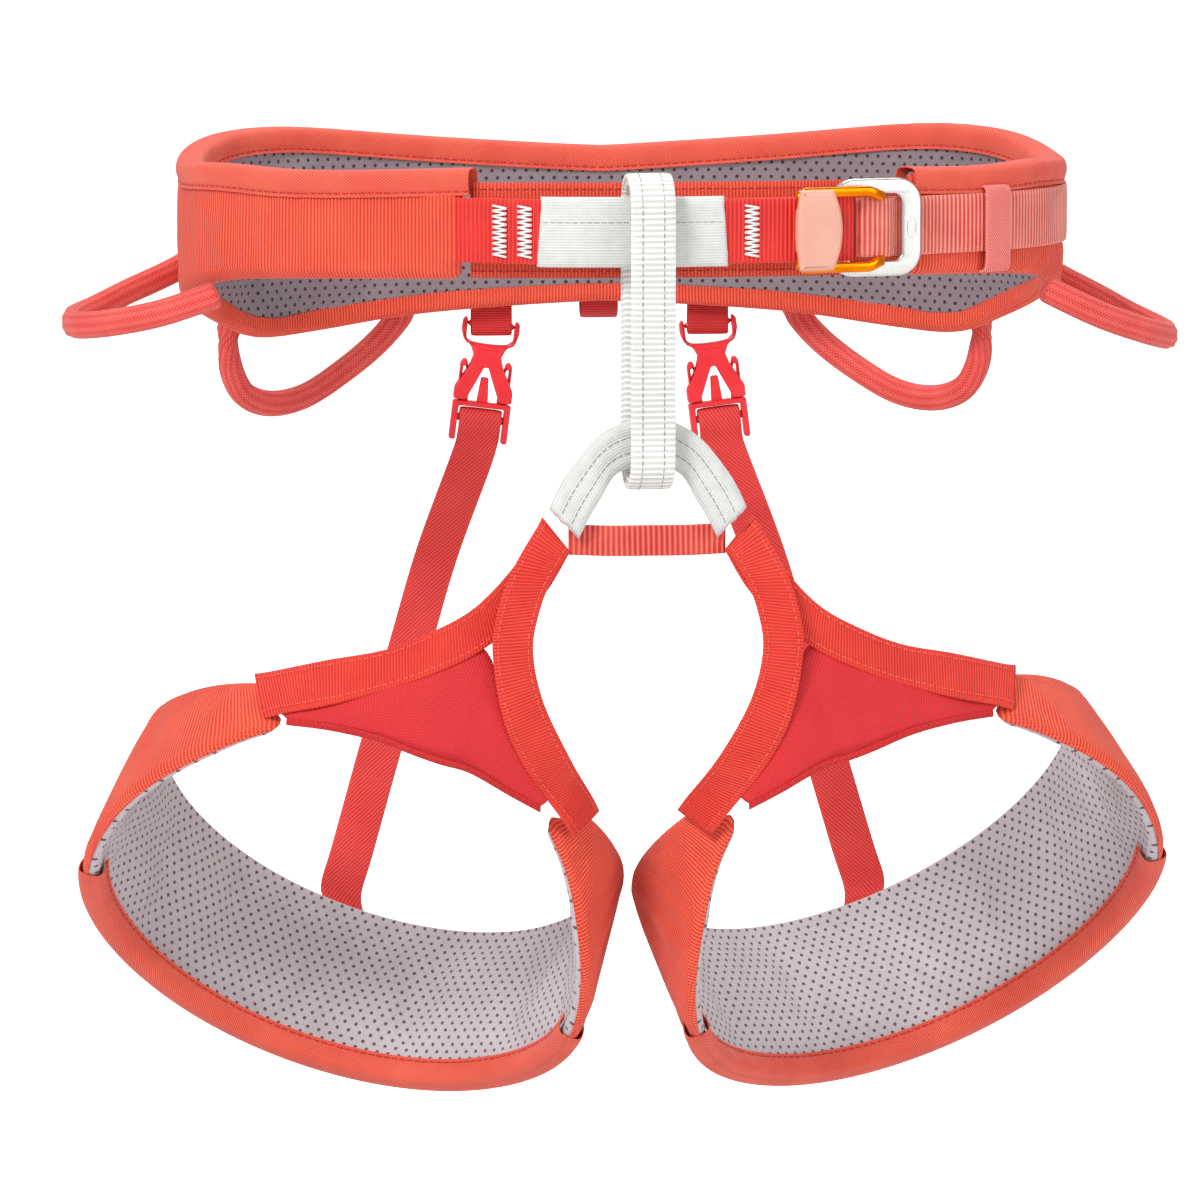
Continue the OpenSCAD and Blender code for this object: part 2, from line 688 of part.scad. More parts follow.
// Sprung arm of the clip, with its long hole
module squeeze_arm(s) {
    root_y = foot_y - 0.2;
    color("crimson") buckle_stand()
        slab(slot_t - 0.5, 0)
            difference() {
                polygon([[s * 5.4, root_y], [s * 9.4, root_y], [s * 9.6, -24], [s * 9.6, -15],
                    [s * 8.8, -13.4], [s * 7.4, -13.8], [s * 6.2, -19], [s * 6, -24]]);
                polygon([[s * 7.2, -23.4], [s * 8.5, -23.4], [s * 8.6, -16.2], [s * 7.7, -16.2]]);
            }
}

// Elastic strap from the clip down to the back of the leg pad
riser_mid = [[-45.8, 93.4, -88.6], [-46.6, 93.3, -95], [-49.6, 93, -104], [-62, 91, -137], [-72, 88, -170],
    [-84, 84, -210], [-95, 79.6, -248], [-99.5, 77, -263]];
module riser() {
    strap = [for (i = [0:len(riser_mid) - 1])
        let (lean = i < 2 ? riser_lean : 16, d = [cos(lean), 0, -sin(lean)] * riser_w / 2)
        [riser_mid[i] - d, riser_mid[i] + d]];
    foot = [for (h = [-32, -26, -18])
        let (d = unit(leg_pt(66, h, 1.6) - leg_pt(54, h, 1.6)) * riser_w / 2)
        [leg_pt(60, h, 1.6) - d, leg_pt(60, h, 1.6) + d]];
    color("tomato") ribbon(concat(smooth_rows(strap, 2), foot), 1.3);
}

waist_shell();
waist_foam();
waist_liner();
waist_binding();
front_flap();
front_webbing();
tie_in_sleeve();
front_bartacks();
buckle_fork_frame();
buckle_front_frame();
buckle_grip();
adjusting_strap();
strap_keeper();
side(-1) gear_sheath(front_gear_route);  // right_front_gear_sheath
side(-1) gear_core(front_gear_route);  // right_front_gear_core
side(1) gear_sheath(left_front_gear_route);  // left_front_gear_sheath
side(1) gear_core(left_front_gear_route);  // left_front_gear_core
side(-1) gear_sheath(rear_gear_route);  // right_rear_gear_sheath
side(-1) gear_core(rear_gear_route);  // right_rear_gear_core
side(1) gear_sheath(rear_gear_route);  // left_rear_gear_sheath
side(1) gear_core(rear_gear_route);  // left_rear_gear_core
sewn_anchors();
haul_loop();
belay_outer_ply();
belay_inner_ply();
lower_tie_in_sleeve();
bridge_webbing();
crotch_strap();
side(-1) hanger();  // right_hanger
side(-1) buckle_socket();  // right_buckle_socket
side(-1) buckle_clip();  // right_buckle_clip
side(-1) squeeze_arm(-1);  // right_outer_squeeze_arm
side(-1) squeeze_arm(1);  // right_inner_squeeze_arm
side(-1) riser();  // right_riser
side(1) hanger();  // left_hanger
side(1) buckle_socket();  // left_buckle_socket
side(1) buckle_clip();  // left_buckle_clip
side(1) squeeze_arm(-1);  // left_outer_squeeze_arm
side(1) squeeze_arm(1);  // left_inner_squeeze_arm
side(1) riser();  // left_riser
side(-1) leg_shell();  // right_leg_shell
side(-1) leg_foam();  // right_leg_foam
side(-1) leg_liner();  // right_leg_liner
side(-1) leg_binding();  // right_leg_binding
side(-1) outer_web();  // right_outer_web
side(-1) inner_web();  // right_inner_web
side(-1) gusset();  // right_gusset
side(-1) gusset_edge();  // right_gusset_edge
side(1) leg_shell();  // left_leg_shell
side(1) leg_foam();  // left_leg_foam
side(1) leg_liner();  // left_leg_liner
side(1) leg_binding();  // left_leg_binding
side(1) outer_web();  // left_outer_web
side(1) inner_web();  // left_inner_web
side(1) gusset();  // left_gusset
side(1) gusset_edge();  // left_gusset_edge
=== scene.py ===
"""A climbing harness, finished in cloth, webbing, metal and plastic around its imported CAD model.

The origin is the centre of the waist ring; +X is the wearer's left, -Y the front and +Z up. Blender works in
metres. The sizes below are in millimetres, and each piece is scaled to metres when it is made. One-sided
pieces are shaped on the wearer's right and mirrored for the left.
"""

import math

import bmesh
import bpy
from mathutils import Matrix, Vector


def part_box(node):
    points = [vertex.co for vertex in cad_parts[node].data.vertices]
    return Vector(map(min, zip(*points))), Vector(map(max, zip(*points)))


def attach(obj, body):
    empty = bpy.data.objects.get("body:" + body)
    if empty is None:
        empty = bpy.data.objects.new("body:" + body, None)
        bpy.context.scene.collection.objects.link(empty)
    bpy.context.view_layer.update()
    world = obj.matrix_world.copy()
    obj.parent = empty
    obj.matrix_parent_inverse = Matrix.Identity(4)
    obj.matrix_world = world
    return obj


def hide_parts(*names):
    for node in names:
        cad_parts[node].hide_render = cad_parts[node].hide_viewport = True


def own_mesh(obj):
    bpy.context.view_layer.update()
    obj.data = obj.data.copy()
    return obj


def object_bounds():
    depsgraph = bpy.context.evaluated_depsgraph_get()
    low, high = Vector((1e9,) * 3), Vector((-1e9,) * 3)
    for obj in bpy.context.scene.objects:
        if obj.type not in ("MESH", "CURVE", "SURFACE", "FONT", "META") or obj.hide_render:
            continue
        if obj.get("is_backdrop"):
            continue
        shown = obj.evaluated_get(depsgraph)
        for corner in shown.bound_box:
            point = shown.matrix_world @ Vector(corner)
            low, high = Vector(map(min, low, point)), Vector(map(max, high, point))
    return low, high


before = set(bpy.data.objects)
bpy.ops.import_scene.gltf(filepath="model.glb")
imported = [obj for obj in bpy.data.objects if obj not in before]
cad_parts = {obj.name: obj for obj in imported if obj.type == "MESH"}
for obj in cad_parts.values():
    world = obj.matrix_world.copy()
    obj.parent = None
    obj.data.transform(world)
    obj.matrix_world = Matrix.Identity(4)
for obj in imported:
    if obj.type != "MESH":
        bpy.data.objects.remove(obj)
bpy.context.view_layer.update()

MM = 0.001
scene = bpy.context.scene


# ---- sizes taken from the frame ----


def node_size(node):
    """Lowest and highest corner of a CAD node, in millimetres."""
    low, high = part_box(node)
    return low / MM, high / MM


waist_low, waist_high = node_size("waist_shell")
WAIST_W = waist_high.x - waist_low.x
WAIST_D = 2 * waist_high.y
WAIST_SQUARE = 2.4
sleeve_low, sleeve_high = node_size("tie_in_sleeve")
SLEEVE_Y = node_size("belay_outer_ply")[0].y / 2 + node_size("belay_outer_ply")[1].y / 2
MID_Z = (sleeve_low.z + sleeve_high.z) / 2
WEB_HALF = (sleeve_high.z - sleeve_low.z) / 2 - 1
STRAP_HALF = 10.5

# ---- curves ----


def smooth(points, steps):
    """Catmull-Rom curve through points of any dimension, with steps between neighbours."""
    pts = [Vector(p) for p in points]
    last = len(pts) - 1
    curve = []
    for i in range(last):
        a, b, c, d = pts[max(i - 1, 0)], pts[i], pts[i + 1], pts[min(i + 2, last)]
        for k in range(steps):
            t = k / steps
            bend = (2 * a - 5 * b + 4 * c - d) * t * t + (3 * b - a - 3 * c + d) * t**3
            curve.append((2 * b + (c - a) * t + bend) * 0.5)
    return [*curve, pts[last]]


def even(points, step):
    """The same line with its points about step apart."""
    lengths = [0.0]
    for a, b in zip(points, points[1:]):
        lengths.append(lengths[-1] + (b - a).length)
    count = max(2, round(lengths[-1] / step))
    i = 0
    line = []
    for k in range(count + 1):
        s = lengths[-1] * k / count
        while i < len(points) - 2 and lengths[i + 1] < s:
            i += 1
        t = (s - lengths[i]) / max(lengths[i + 1] - lengths[i], 1e-9)
        line.append(points[i].lerp(points[i + 1], t))
    return line


def direction(line, i):
    return (line[min(i + 1, len(line) - 1)] - line[max(i - 1, 0)]).normalized()


def lookup(x, rows):
    """Value at x in rows of (x, value), held at both ends."""
    if x <= rows[0][0]:
        return rows[0][1]
    for a, b in zip(rows, rows[1:]):
        if x <= b[0]:
            return a[1] + (b[1] - a[1]) * (x - a[0]) / max(b[0] - a[0], 1e-9)
    return rows[-1][1]


def arc(centre, r, a0, a1, n):
    """Points of an arc in plan."""
    turns = [math.radians(a0 + (a1 - a0) * k / n) for k in range(n + 1)]
    return [Vector((centre[0] + r * math.cos(t), centre[1] + r * math.sin(t))) for t in turns]


def ease(x):
    """0 to 1, with a soft start and end."""
    x = min(1.0, max(0.0, x))
    return x * x * (3 - 2 * x)


def hump(x, middle, width):
    """A smooth bump, 1 at the middle."""
    return math.exp(-(((x - middle) / width) ** 2))


# ---- the waist ring and the leg rings ----

TOP_ROWS = smooth([(0, 17), (20, 21), (45, 26), (65, 25), (90, 19), (115, 20), (135, 19), (165, 21)], 4)
LOW_ROWS = smooth([(0, -41), (22, -45), (40, -50), (54, -51), (68, -43), (90, -31), (112, -22), (135, -19),
                   (165, -18)], 4)
BELT_FROM, BELT_TO = -57, 250


def power(v, e):
    return math.copysign(abs(v) ** e, v)


def belt_xy(a, off):
    t = math.radians(a)
    return Vector(((WAIST_W / 2 + off) * power(math.cos(t), 2 / WAIST_SQUARE),
                   (WAIST_D / 2 + off) * power(math.sin(t), 2 / WAIST_SQUARE)))


def belt_top(a):
    return lookup(abs(a - 90), TOP_ROWS)


def belt_low(a):
    return lookup(abs(a - 90), LOW_ROWS)


def belt_pt(a, off, z):
    x, y = belt_xy(a, off)
    return Vector((x, y, z))


def even_angles(point, start, end, step):
    """Angles from start to end at which the points of a ring are about step apart."""
    rough = [start + (end - start) * k / 600 for k in range(601)]
    lengths = [0.0]
    for a, b in zip(rough, rough[1:]):
        lengths.append(lengths[-1] + (point(b) - point(a)).length)
    count = round(lengths[-1] / step)
    pairs = list(zip(lengths, rough))
    return [(lookup(lengths[-1] * k / count, pairs), lengths[-1] * k / count) for k in range(count + 1)]


LEG_R1, LEG_R2, LEG_HALF, LEG_TAPER = 97, 93, 33, 5
LEG_CENTRE = Vector((-98.3, -22, -241))
LEG_TILT, LEG_SPLAY = math.radians(43.2), math.radians(31)
LEG_AXIS = Vector((-math.sin(LEG_TILT) * math.sin(LEG_SPLAY), -math.sin(LEG_TILT) * math.cos(LEG_SPLAY),
                   -math.cos(LEG_TILT)))
LEG_U = Vector((LEG_AXIS.y, -LEG_AXIS.x, 0)).normalized()
LEG_V = LEG_AXIS.cross(LEG_U)
LEG_FROM, LEG_TO, END_SLANT = -83, 200, 7
BOUND_FROM, BOUND_TO = -23.4, 147.9
LEG_HIGH_ROWS = smooth([(-90, -21), (-75, -23), (-55, -26), (-30, -31), (0, -33), (60, -33), (110, -33),
                        (150, -33), (180, -27), (210, -20)], 4)
LEG_LOW_ROWS = smooth([(-90, -4), (-80, 1), (-68, 11), (-52, 21), (-35, 29), (-20, 33), (20, 33), (60, 33),
                       (110, 33), (145, 33), (160, 27), (175, 17), (190, 2), (205, -9)], 4)


def leg_pt(a, h, off):
    """Point on a leg loop: angle round it, place along the leg, distance outside the pad."""
    r = off - LEG_TAPER * (LEG_HALF - h) / (2 * LEG_HALF)
    t = math.radians(a)
    across = (LEG_R1 + r) * math.cos(t) * LEG_U + (LEG_R2 + r) * math.sin(t) * LEG_V
    return LEG_CENTRE + h * LEG_AXIS + across


def leg_high(a):
    return lookup(a, LEG_HIGH_ROWS)


def leg_low(a):
    return lookup(a, LEG_LOW_ROWS)


# ---- materials ----


def srgb(r, g, b):
    """A colour, 0 to 255, as the shader's linear one."""
    return tuple(((c / 255 + 0.055) / 1.055) ** 2.4 for c in (r, g, b)) + (1,)


class Finish:
    """A material, with its pattern built from short sums. u runs along the cloth and v across it, in mm."""

    def __init__(self, name, roughness, sheen=0.0, metallic=0.0, coat=0.0):
        self.material = bpy.data.materials.new(name)
        self.material.use_nodes = True
        self.nodes = self.material.node_tree.nodes
        self.links = self.material.node_tree.links
        self.nodes.clear()
        self.shader = self.nodes.new("ShaderNodeBsdfPrincipled")
        out = self.nodes.new("ShaderNodeOutputMaterial")
        self.links.new(self.shader.outputs["BSDF"], out.inputs["Surface"])
        self.shader.inputs["Roughness"].default_value = roughness
        self.shader.inputs["Metallic"].default_value = metallic
        self.shader.inputs["Sheen Weight"].default_value = sheen
        self.shader.inputs["Sheen Roughness"].default_value = 0.4
        self.shader.inputs["Coat Weight"].default_value = coat
        self.shader.inputs["Coat Roughness"].default_value = 0.12

    def math(self, kind, a, b=0.0, clamp=False):
        node = self.nodes.new("ShaderNodeMath")
        node.operation = kind
        node.use_clamp = clamp
        for socket, value in zip(node.inputs, (a, b)):
            if isinstance(value, (int, float)):
                socket.default_value = value
            else:
                self.links.new(value, socket)
        return node.outputs[0]

    def cloth(self):
        """Sockets with the place along and across the cloth, in millimetres."""
        uv = self.nodes.new("ShaderNodeUVMap")
        uv.uv_map = "cloth"
        split = self.nodes.new("ShaderNodeSeparateXYZ")
        self.links.new(uv.outputs["UV"], split.inputs[0])
        return self.math("MULTIPLY", split.outputs[0], 1000), self.math("MULTIPLY", split.outputs[1], 1000)

    def half(self, turn):
        return self.math("ADD", self.math("MULTIPLY", self.math("COSINE", turn), 0.5), 0.5)

    def speckle(self, size, low=0.0, high=1.0, detail=2.0):
        """Soft noise over the piece, its patches about size millimetres."""
        where = self.nodes.new("ShaderNodeTexCoord")
        noise = self.nodes.new("ShaderNodeTexNoise")
        noise.inputs["Scale"].default_value = 1000 / size
        noise.inputs["Detail"].default_value = detail
        self.links.new(where.outputs["Object"], noise.inputs["Vector"])
        spread = self.math("MULTIPLY", self.math("SUBTRACT", noise.outputs[0], 0.5), (high - low) * 1.6)
        return self.math("ADD", spread, (high + low) / 2)

    def attribute(self, name):
        node = self.nodes.new("ShaderNodeAttribute")
        node.attribute_name = name
        return node.outputs["Fac"]

    def mix(self, share, a, b):
        """Colour a at 0, b at 1."""
        node = self.nodes.new("ShaderNodeMix")
        node.data_type = "RGBA"
        node.clamp_factor = True
        inputs = [node.inputs["Factor"], node.inputs[6], node.inputs[7]]
        for socket, value in zip(inputs, (share, a, b)):
            if isinstance(value, (int, float, tuple)):
                socket.default_value = value
            else:
                self.links.new(value, socket)
        return node.outputs[2]

    def colour(self, value):
        if isinstance(value, tuple):
            self.shader.inputs["Base Color"].default_value = value
        else:
            self.links.new(value, self.shader.inputs["Base Color"])

    def relief(self, height, depth, strength=1.0):
        """Bump: height is 0 to 1 and depth is in millimetres."""
        bump = self.nodes.new("ShaderNodeBump")
        bump.inputs["Strength"].default_value = strength
        bump.inputs["Distance"].default_value = depth * MM
        self.links.new(height, bump.inputs["Height"])
        self.links.new(bump.outputs["Normal"], self.shader.inputs["Normal"])

    def roughness(self, value):
        self.links.new(value, self.shader.inputs["Roughness"])


def rib_cloth(name, light, dark, across=1.25, up=0.75):
    """Pad cover: fine upright ribs of small stitches, with dark pin-holes between them."""
    f = Finish(name, 0.78, sheen=0.1)
    u, v = f.cloth()
    rib = f.half(f.math("MULTIPLY", u, 2 * math.pi / across))
    column = f.math("ROUND", f.math("DIVIDE", u, across))
    offset = f.math("MULTIPLY", column, math.pi)
    stitch = f.half(f.math("ADD", f.math("MULTIPLY", v, 2 * math.pi / up), offset))
    weave = f.math("ADD", f.math("MULTIPLY", rib, 0.62), f.math("MULTIPLY", stitch, 0.38))
    shade = f.math("ADD", f.math("MULTIPLY", weave, 1.3), f.speckle(22, -0.3, 0.0))
    f.colour(f.mix(shade, dark, light))
    f.relief(weave, 0.35)
    return f.material


def twill(name, light, dark, pitch, slope, sheen=0.12):
    """Tape or elastic with slanted wales. slope is how far a wale climbs for each millimetre along."""
    f = Finish(name, 0.66, sheen=sheen)
    u, v = f.cloth()
    slant = f.math("ADD", f.math("MULTIPLY", v, 1.0), f.math("MULTIPLY", u, slope))
    wale = f.half(f.math("MULTIPLY", slant, 2 * math.pi / pitch))
    yarn = f.half(f.math("MULTIPLY", u, 2 * math.pi / 0.55))
    weave = f.math("ADD", f.math("MULTIPLY", wale, 0.75), f.math("MULTIPLY", yarn, 0.25))
    edge = f.math("MULTIPLY", f.attribute("edge"), 0.2)
    shade = f.math("ADD", f.math("ADD", weave, edge), f.speckle(18, -0.14, 0.14))
    f.colour(f.mix(shade, dark, light))
    f.relief(weave, 0.22)
    return f.material


def ribbed_webbing(name, light, dark, pitch, depth=0.35, sheen=0.1, sharp=1.4):
    """Flat webbing with crosswise ribs and a bound selvedge at both edges."""
    f = Finish(name, 0.55, sheen=sheen)
    u, v = f.cloth()
    bow = f.math("MULTIPLY", f.speckle(30, -0.5, 0.5), 0.5)
    rib = f.math("POWER", f.half(f.math("MULTIPLY", f.math("ADD", u, bow), 2 * math.pi / pitch)), sharp)
    yarn = f.half(f.math("MULTIPLY", v, 2 * math.pi / 0.6))
    edge = f.attribute("edge")
    weave = f.math("ADD", f.math("MULTIPLY", rib, 0.84), f.math("MULTIPLY", yarn, 0.16))
    shade = f.math("ADD", f.math("ADD", weave, f.math("MULTIPLY", edge, 0.18)), f.speckle(14, -0.18, 0.18))
    f.colour(f.mix(shade, dark, light))
    f.relief(weave, depth)
    return f.material


def perforated(name, cloth_colour, shade_colour, hole_colour, along=4.5, between=2.8, hole=0.6):
    """Air-mesh lining: rows of small holes, every second row set over by half a pitch."""
    f = Finish(name, 0.9, sheen=0.05)
    u, v = f.cloth()
    reach = None
    for shift in (0.0, 0.5):
        du = f.math("SUBTRACT", f.math("FRACT", f.math("ADD", f.math("DIVIDE", u, along), shift)), 0.5)
        dv = f.math("SUBTRACT", f.math("FRACT", f.math("ADD", f.math("DIVIDE", v, 2 * between), shift)), 0.5)
        x, y = f.math("MULTIPLY", du, along), f.math("MULTIPLY", dv, 2 * between)
        far = f.math("SQRT", f.math("ADD", f.math("MULTIPLY", x, x), f.math("MULTIPLY", y, y)))
        reach = far if reach is None else f.math("MINIMUM", reach, far)
    solid = f.math("MULTIPLY", f.math("SUBTRACT", reach, hole * 0.72), 1 / (hole * 0.56), clamp=True)
    knit = f.math("MULTIPLY", f.half(f.math("MULTIPLY", u, 2 * math.pi / 0.9)),
                  f.half(f.math("MULTIPLY", v, 2 * math.pi / 0.7)))
    tone = f.math("ADD", f.math("MULTIPLY", knit, 0.45), f.speckle(30, 0.25, 0.75))
    f.colour(f.mix(solid, hole_colour, f.mix(tone, shade_colour, cloth_colour)))
    f.relief(f.math("ADD", solid, f.math("MULTIPLY", knit, 0.22)), 0.5)
    return f.material


def braid(name, light, dark):
    """Gear-loop sheath: slanted picks crossing both ways; the lighter picks are partly the braid's weave and
    partly painted highlight, and the lighter ridges are painted highlight.
    """
    f = Finish(name, 0.55, sheen=0.15)
    u, v = f.cloth()
    one = f.half(f.math("MULTIPLY", f.math("ADD", u, v), 2 * math.pi / 1.3))
    two = f.half(f.math("MULTIPLY", f.math("SUBTRACT", u, v), 2 * math.pi / 1.3))
    pick = f.math("MAXIMUM", one, two)
    # On the sheath the edge mark is high on the ridge tops, so lightening by it paints a highlight along the
    # ridges; the sharpened picks add a dotted painted highlight over the weave.
    ridge = f.attribute("edge")
    shade = f.math("ADD", f.math("MULTIPLY", f.math("POWER", pick, 3.0), 0.55),
                   f.math("MULTIPLY", ridge, 0.35))
    f.colour(f.mix(f.math("ADD", shade, f.speckle(12, -0.12, 0.12)), dark, light))
    f.relief(pick, 0.2)
    return f.material


def net(name, light, dark):
    """Stretch mesh of the gussets: fine upright lines of tiny holes."""
    f = Finish(name, 0.7, sheen=0.1)
    u, v = f.cloth()
    a = f.half(f.math("MULTIPLY", u, 2 * math.pi / 1.0))
    column = f.math("MULTIPLY", f.math("ROUND", u), math.pi)
    b = f.half(f.math("ADD", f.math("MULTIPLY", v, 2 * math.pi / 1.1), column))
    weave = f.math("MULTIPLY", f.math("ADD", a, b), 0.5)
    f.colour(f.mix(f.math("ADD", weave, f.speckle(25, -0.15, 0.15)), dark, light))
    f.relief(weave, 0.18)
    return f.material


def plain_cloth(name, light, dark, pitch=1.0, depth=0.2, sheen=0.05):
    """Smooth woven cover with a fine even grain and soft creases, for the white wear sleeves; the crease
    hollows are darkened as painted shade.
    """
    f = Finish(name, 0.6, sheen=sheen)
    u, v = f.cloth()
    grain = f.math("ADD", f.math("MULTIPLY", f.half(f.math("MULTIPLY", v, 2 * math.pi / pitch)), 0.7),
                   f.math("MULTIPLY", f.half(f.math("MULTIPLY", u, 2 * math.pi / 0.7)), 0.3))
    # Soft creases: they raise the bump, and their hollows are darkened in the colour as painted shade.
    crease_relief_and_shade = f.speckle(5, 0.1, 0.9, detail=3.0)
    f.colour(f.mix(f.math("ADD", f.math("MULTIPLY", grain, 0.5), f.math("MULTIPLY", crease_relief_and_shade, 0.6)), dark,
                   light))
    f.relief(f.math("ADD", grain, f.math("MULTIPLY", crease_relief_and_shade, 1.2)), depth)
    return f.material


def plastic(name, colour, tint, roughness=0.32):
    """Moulded acetal: glossy, with a faint grain and a softer worn tone here and there."""
    f = Finish(name, roughness, coat=0.25)
    f.shader.inputs["Subsurface Weight"].default_value = 0.15
    f.shader.inputs["Subsurface Radius"].default_value = (0.004, 0.001, 0.001)
    f.colour(f.mix(f.speckle(9, 0.0, 1.0), colour, tint))
    f.roughness(f.speckle(2.5, roughness - 0.05, roughness + 0.1))
    f.relief(f.speckle(0.5), 0.02)
    return f.material


def metal(name, colour, worn, roughness, grain=0.35):
    """Drawn or anodised aluminium with fine lines along it and slightly worn tone."""
    f = Finish(name, roughness, metallic=1.0)
    where = f.nodes.new("ShaderNodeTexCoord")
    stretch = f.nodes.new("ShaderNodeMapping")
    stretch.inputs["Scale"].default_value = (120, 900, 900)
    lines = f.nodes.new("ShaderNodeTexNoise")
    lines.inputs["Scale"].default_value = 1.0
    f.links.new(where.outputs["Object"], stretch.inputs["Vector"])
    f.links.new(stretch.outputs["Vector"], lines.inputs["Vector"])
    f.colour(f.mix(f.speckle(8, 0.0, 0.8), colour, worn))
    f.roughness(f.speckle(4, roughness - 0.06, roughness + 0.08))
    f.relief(lines.outputs[0], 0.012 * grain)
    return f.material


def thread(name, light, dark):
    """Twisted sewing thread."""
    f = Finish(name, 0.5, sheen=0.3)
    f.colour(f.mix(f.speckle(1.2), dark, light))
    f.relief(f.speckle(0.35), 0.05)
    return f.material


COVER = rib_cloth("cover_cloth", srgb(255, 106, 74), srgb(196, 26, 10))
TAPE = twill("edge_tape", srgb(255, 114, 86), srgb(190, 28, 16), pitch=0.95, slope=0.7)
WEBBING = ribbed_webbing("tie_in_webbing", srgb(255, 56, 44), srgb(190, 4, 4), pitch=1.55)
STRAP = ribbed_webbing("adjusting_webbing", srgb(255, 158, 138), srgb(192, 34, 28), pitch=1.75, sheen=0.3)
LEG_WEB = ribbed_webbing("leg_webbing", srgb(246, 66, 38), srgb(196, 6, 5), pitch=1.2, depth=0.3)
BRIDGE = ribbed_webbing("crotch_webbing", srgb(255, 118, 98), srgb(184, 18, 12), pitch=1.9, depth=0.45)
ELASTIC = twill("riser_elastic", srgb(242, 76, 70), srgb(190, 18, 16), pitch=1.35, slope=0.62)
KEEPER = twill("keeper_elastic", srgb(255, 150, 140), srgb(206, 62, 56), pitch=1.0, slope=0.8, sheen=0.3)
HANGER = ribbed_webbing("hanger_webbing", srgb(222, 30, 32), srgb(160, 6, 8), pitch=0.9, depth=0.15)
# The belt lining is the leg lining made darker: painted shade standing in for the shadow inside the belt.
SHADED_BELT_LINER = perforated("belt_lining_painted_shade", srgb(146, 134, 139), srgb(112, 98, 104), srgb(58, 42, 50))
LEG_LINER = perforated("leg_lining", srgb(208, 200, 203), srgb(170, 160, 165), srgb(100, 86, 94))
BRAID = braid("gear_braid", srgb(252, 112, 100), srgb(196, 10, 12))
NET = net("gusset_net", srgb(228, 42, 48), srgb(182, 8, 16))
EDGE_BAND = net("gusset_edge_cloth", srgb(224, 30, 36), srgb(176, 4, 10))
WHITE_WEB = ribbed_webbing("belay_webbing", srgb(250, 250, 246), srgb(196, 198, 193), pitch=2.0, depth=0.3)
WHITE_CLOTH = plain_cloth("wear_sleeve_cloth", srgb(229, 230, 226), srgb(188, 190, 187))
WHITE_THREAD = thread("white_thread", srgb(248, 248, 246), srgb(196, 198, 196))
GREY_THREAD = thread("grey_thread", srgb(168, 172, 170), srgb(124, 128, 127))
RED_THREAD = thread("red_thread", srgb(214, 34, 26), srgb(150, 8, 6))
SALMON_THREAD = thread("salmon_thread", srgb(250, 110, 92), srgb(214, 50, 40))
BUCKLE_PLASTIC = plastic("buckle_plastic", srgb(226, 22, 34), srgb(236, 46, 56))
GRIP_PLASTIC = plastic("grip_plastic", srgb(224, 167, 148), srgb(218, 156, 134), roughness=0.42)
SILVER = metal("silver_aluminium", srgb(226, 224, 220), srgb(206, 206, 204), 0.28)
ANODISED = metal("orange_anodised", srgb(242, 138, 8), srgb(222, 106, 0), 0.24)
CORE = plain_cloth("gear_core_cord", srgb(206, 40, 40), srgb(150, 20, 20))


# ---- making pieces ----


def woven(n, m, place, wrap=False, mark=None):
    """A grid of n by m cells bent into shape.

    place(i, j) gives a corner, its place on the cloth and its edge mark.

    With wrap the last column meets the first. mark(j) gives a cell's material number.
    """
    bm = bmesh.new()
    bmesh.ops.create_grid(bm, x_segments=n, y_segments=m, size=1)
    cloth = bm.loops.layers.uv.new("cloth")
    edge = bm.verts.layers.float.new("edge")
    for face in bm.faces:
        centre = face.calc_center_median()
        face.material_index = mark(int((centre.y + 1) / 2 * m)) if mark else 0
        for loop in face.loops:
            i = round((loop.vert.co.x + 1) / 2 * n)
            j = round((loop.vert.co.y + 1) / 2 * m)
            loop[cloth].uv = [x * MM for x in place(i, j)[1]]
    for v in bm.verts:
        point, _, edge_mark = place(round((v.co.x + 1) / 2 * n), round((v.co.y + 1) / 2 * m))
        v.co = point * MM
        v[edge] = edge_mark
    if wrap:
        bmesh.ops.remove_doubles(bm, verts=bm.verts, dist=0.01 * MM)
        bmesh.ops.dissolve_degenerate(bm, edges=bm.edges, dist=0.001 * MM)
        holes = [e for e in bm.edges if e.is_boundary]
        if holes:
            bmesh.ops.holes_fill(bm, edges=holes)
        bmesh.ops.recalc_face_normals(bm, faces=bm.faces)
    return bm


def piece(name, bm, material, body, side="right", nodes=(), thick=0.0, offset=0.0, round_edge=0.0,
          finer=0):
    """A finished object from bm: mirrored for the left, riding on body and standing for CAD nodes."""
    if side == "left":
        bmesh.ops.scale(bm, vec=(-1, 1, 1), verts=bm.verts)
        bmesh.ops.reverse_faces(bm, faces=bm.faces)
    mesh = bpy.data.meshes.new(name)
    bm.to_mesh(mesh)
    bm.free()
    mesh.polygons.foreach_set("use_smooth", [True] * len(mesh.polygons))
    for m in material if isinstance(material, (list, tuple)) else [material]:
        mesh.materials.append(m)
    obj = bpy.data.objects.new(name, mesh)
    scene.collection.objects.link(obj)
    if thick:
        solid = obj.modifiers.new("thickness", "SOLIDIFY")
        solid.thickness = thick * MM
        solid.offset = offset
        solid.use_even_offset = True
    if round_edge:
        bevel = obj.modifiers.new("rounded_edges", "BEVEL")
        bevel.width = round_edge * MM
        bevel.segments = 2
        bevel.limit_method = "ANGLE"
        bevel.angle_limit = math.radians(50)
    if finer:
        fine = obj.modifiers.new("finer", "SUBSURF")
        fine.levels = fine.render_levels = finer
    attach(obj, body)
    if nodes:
        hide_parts(*nodes)
    return obj


def strap_rows(rows, steps=4, step=1.6):
    """Rows of two edge points, smoothed and evenly spaced. Each row is (a.x, a.y, a.z, b.x, b.y, b.z)."""
    return even(smooth(rows, steps), step)


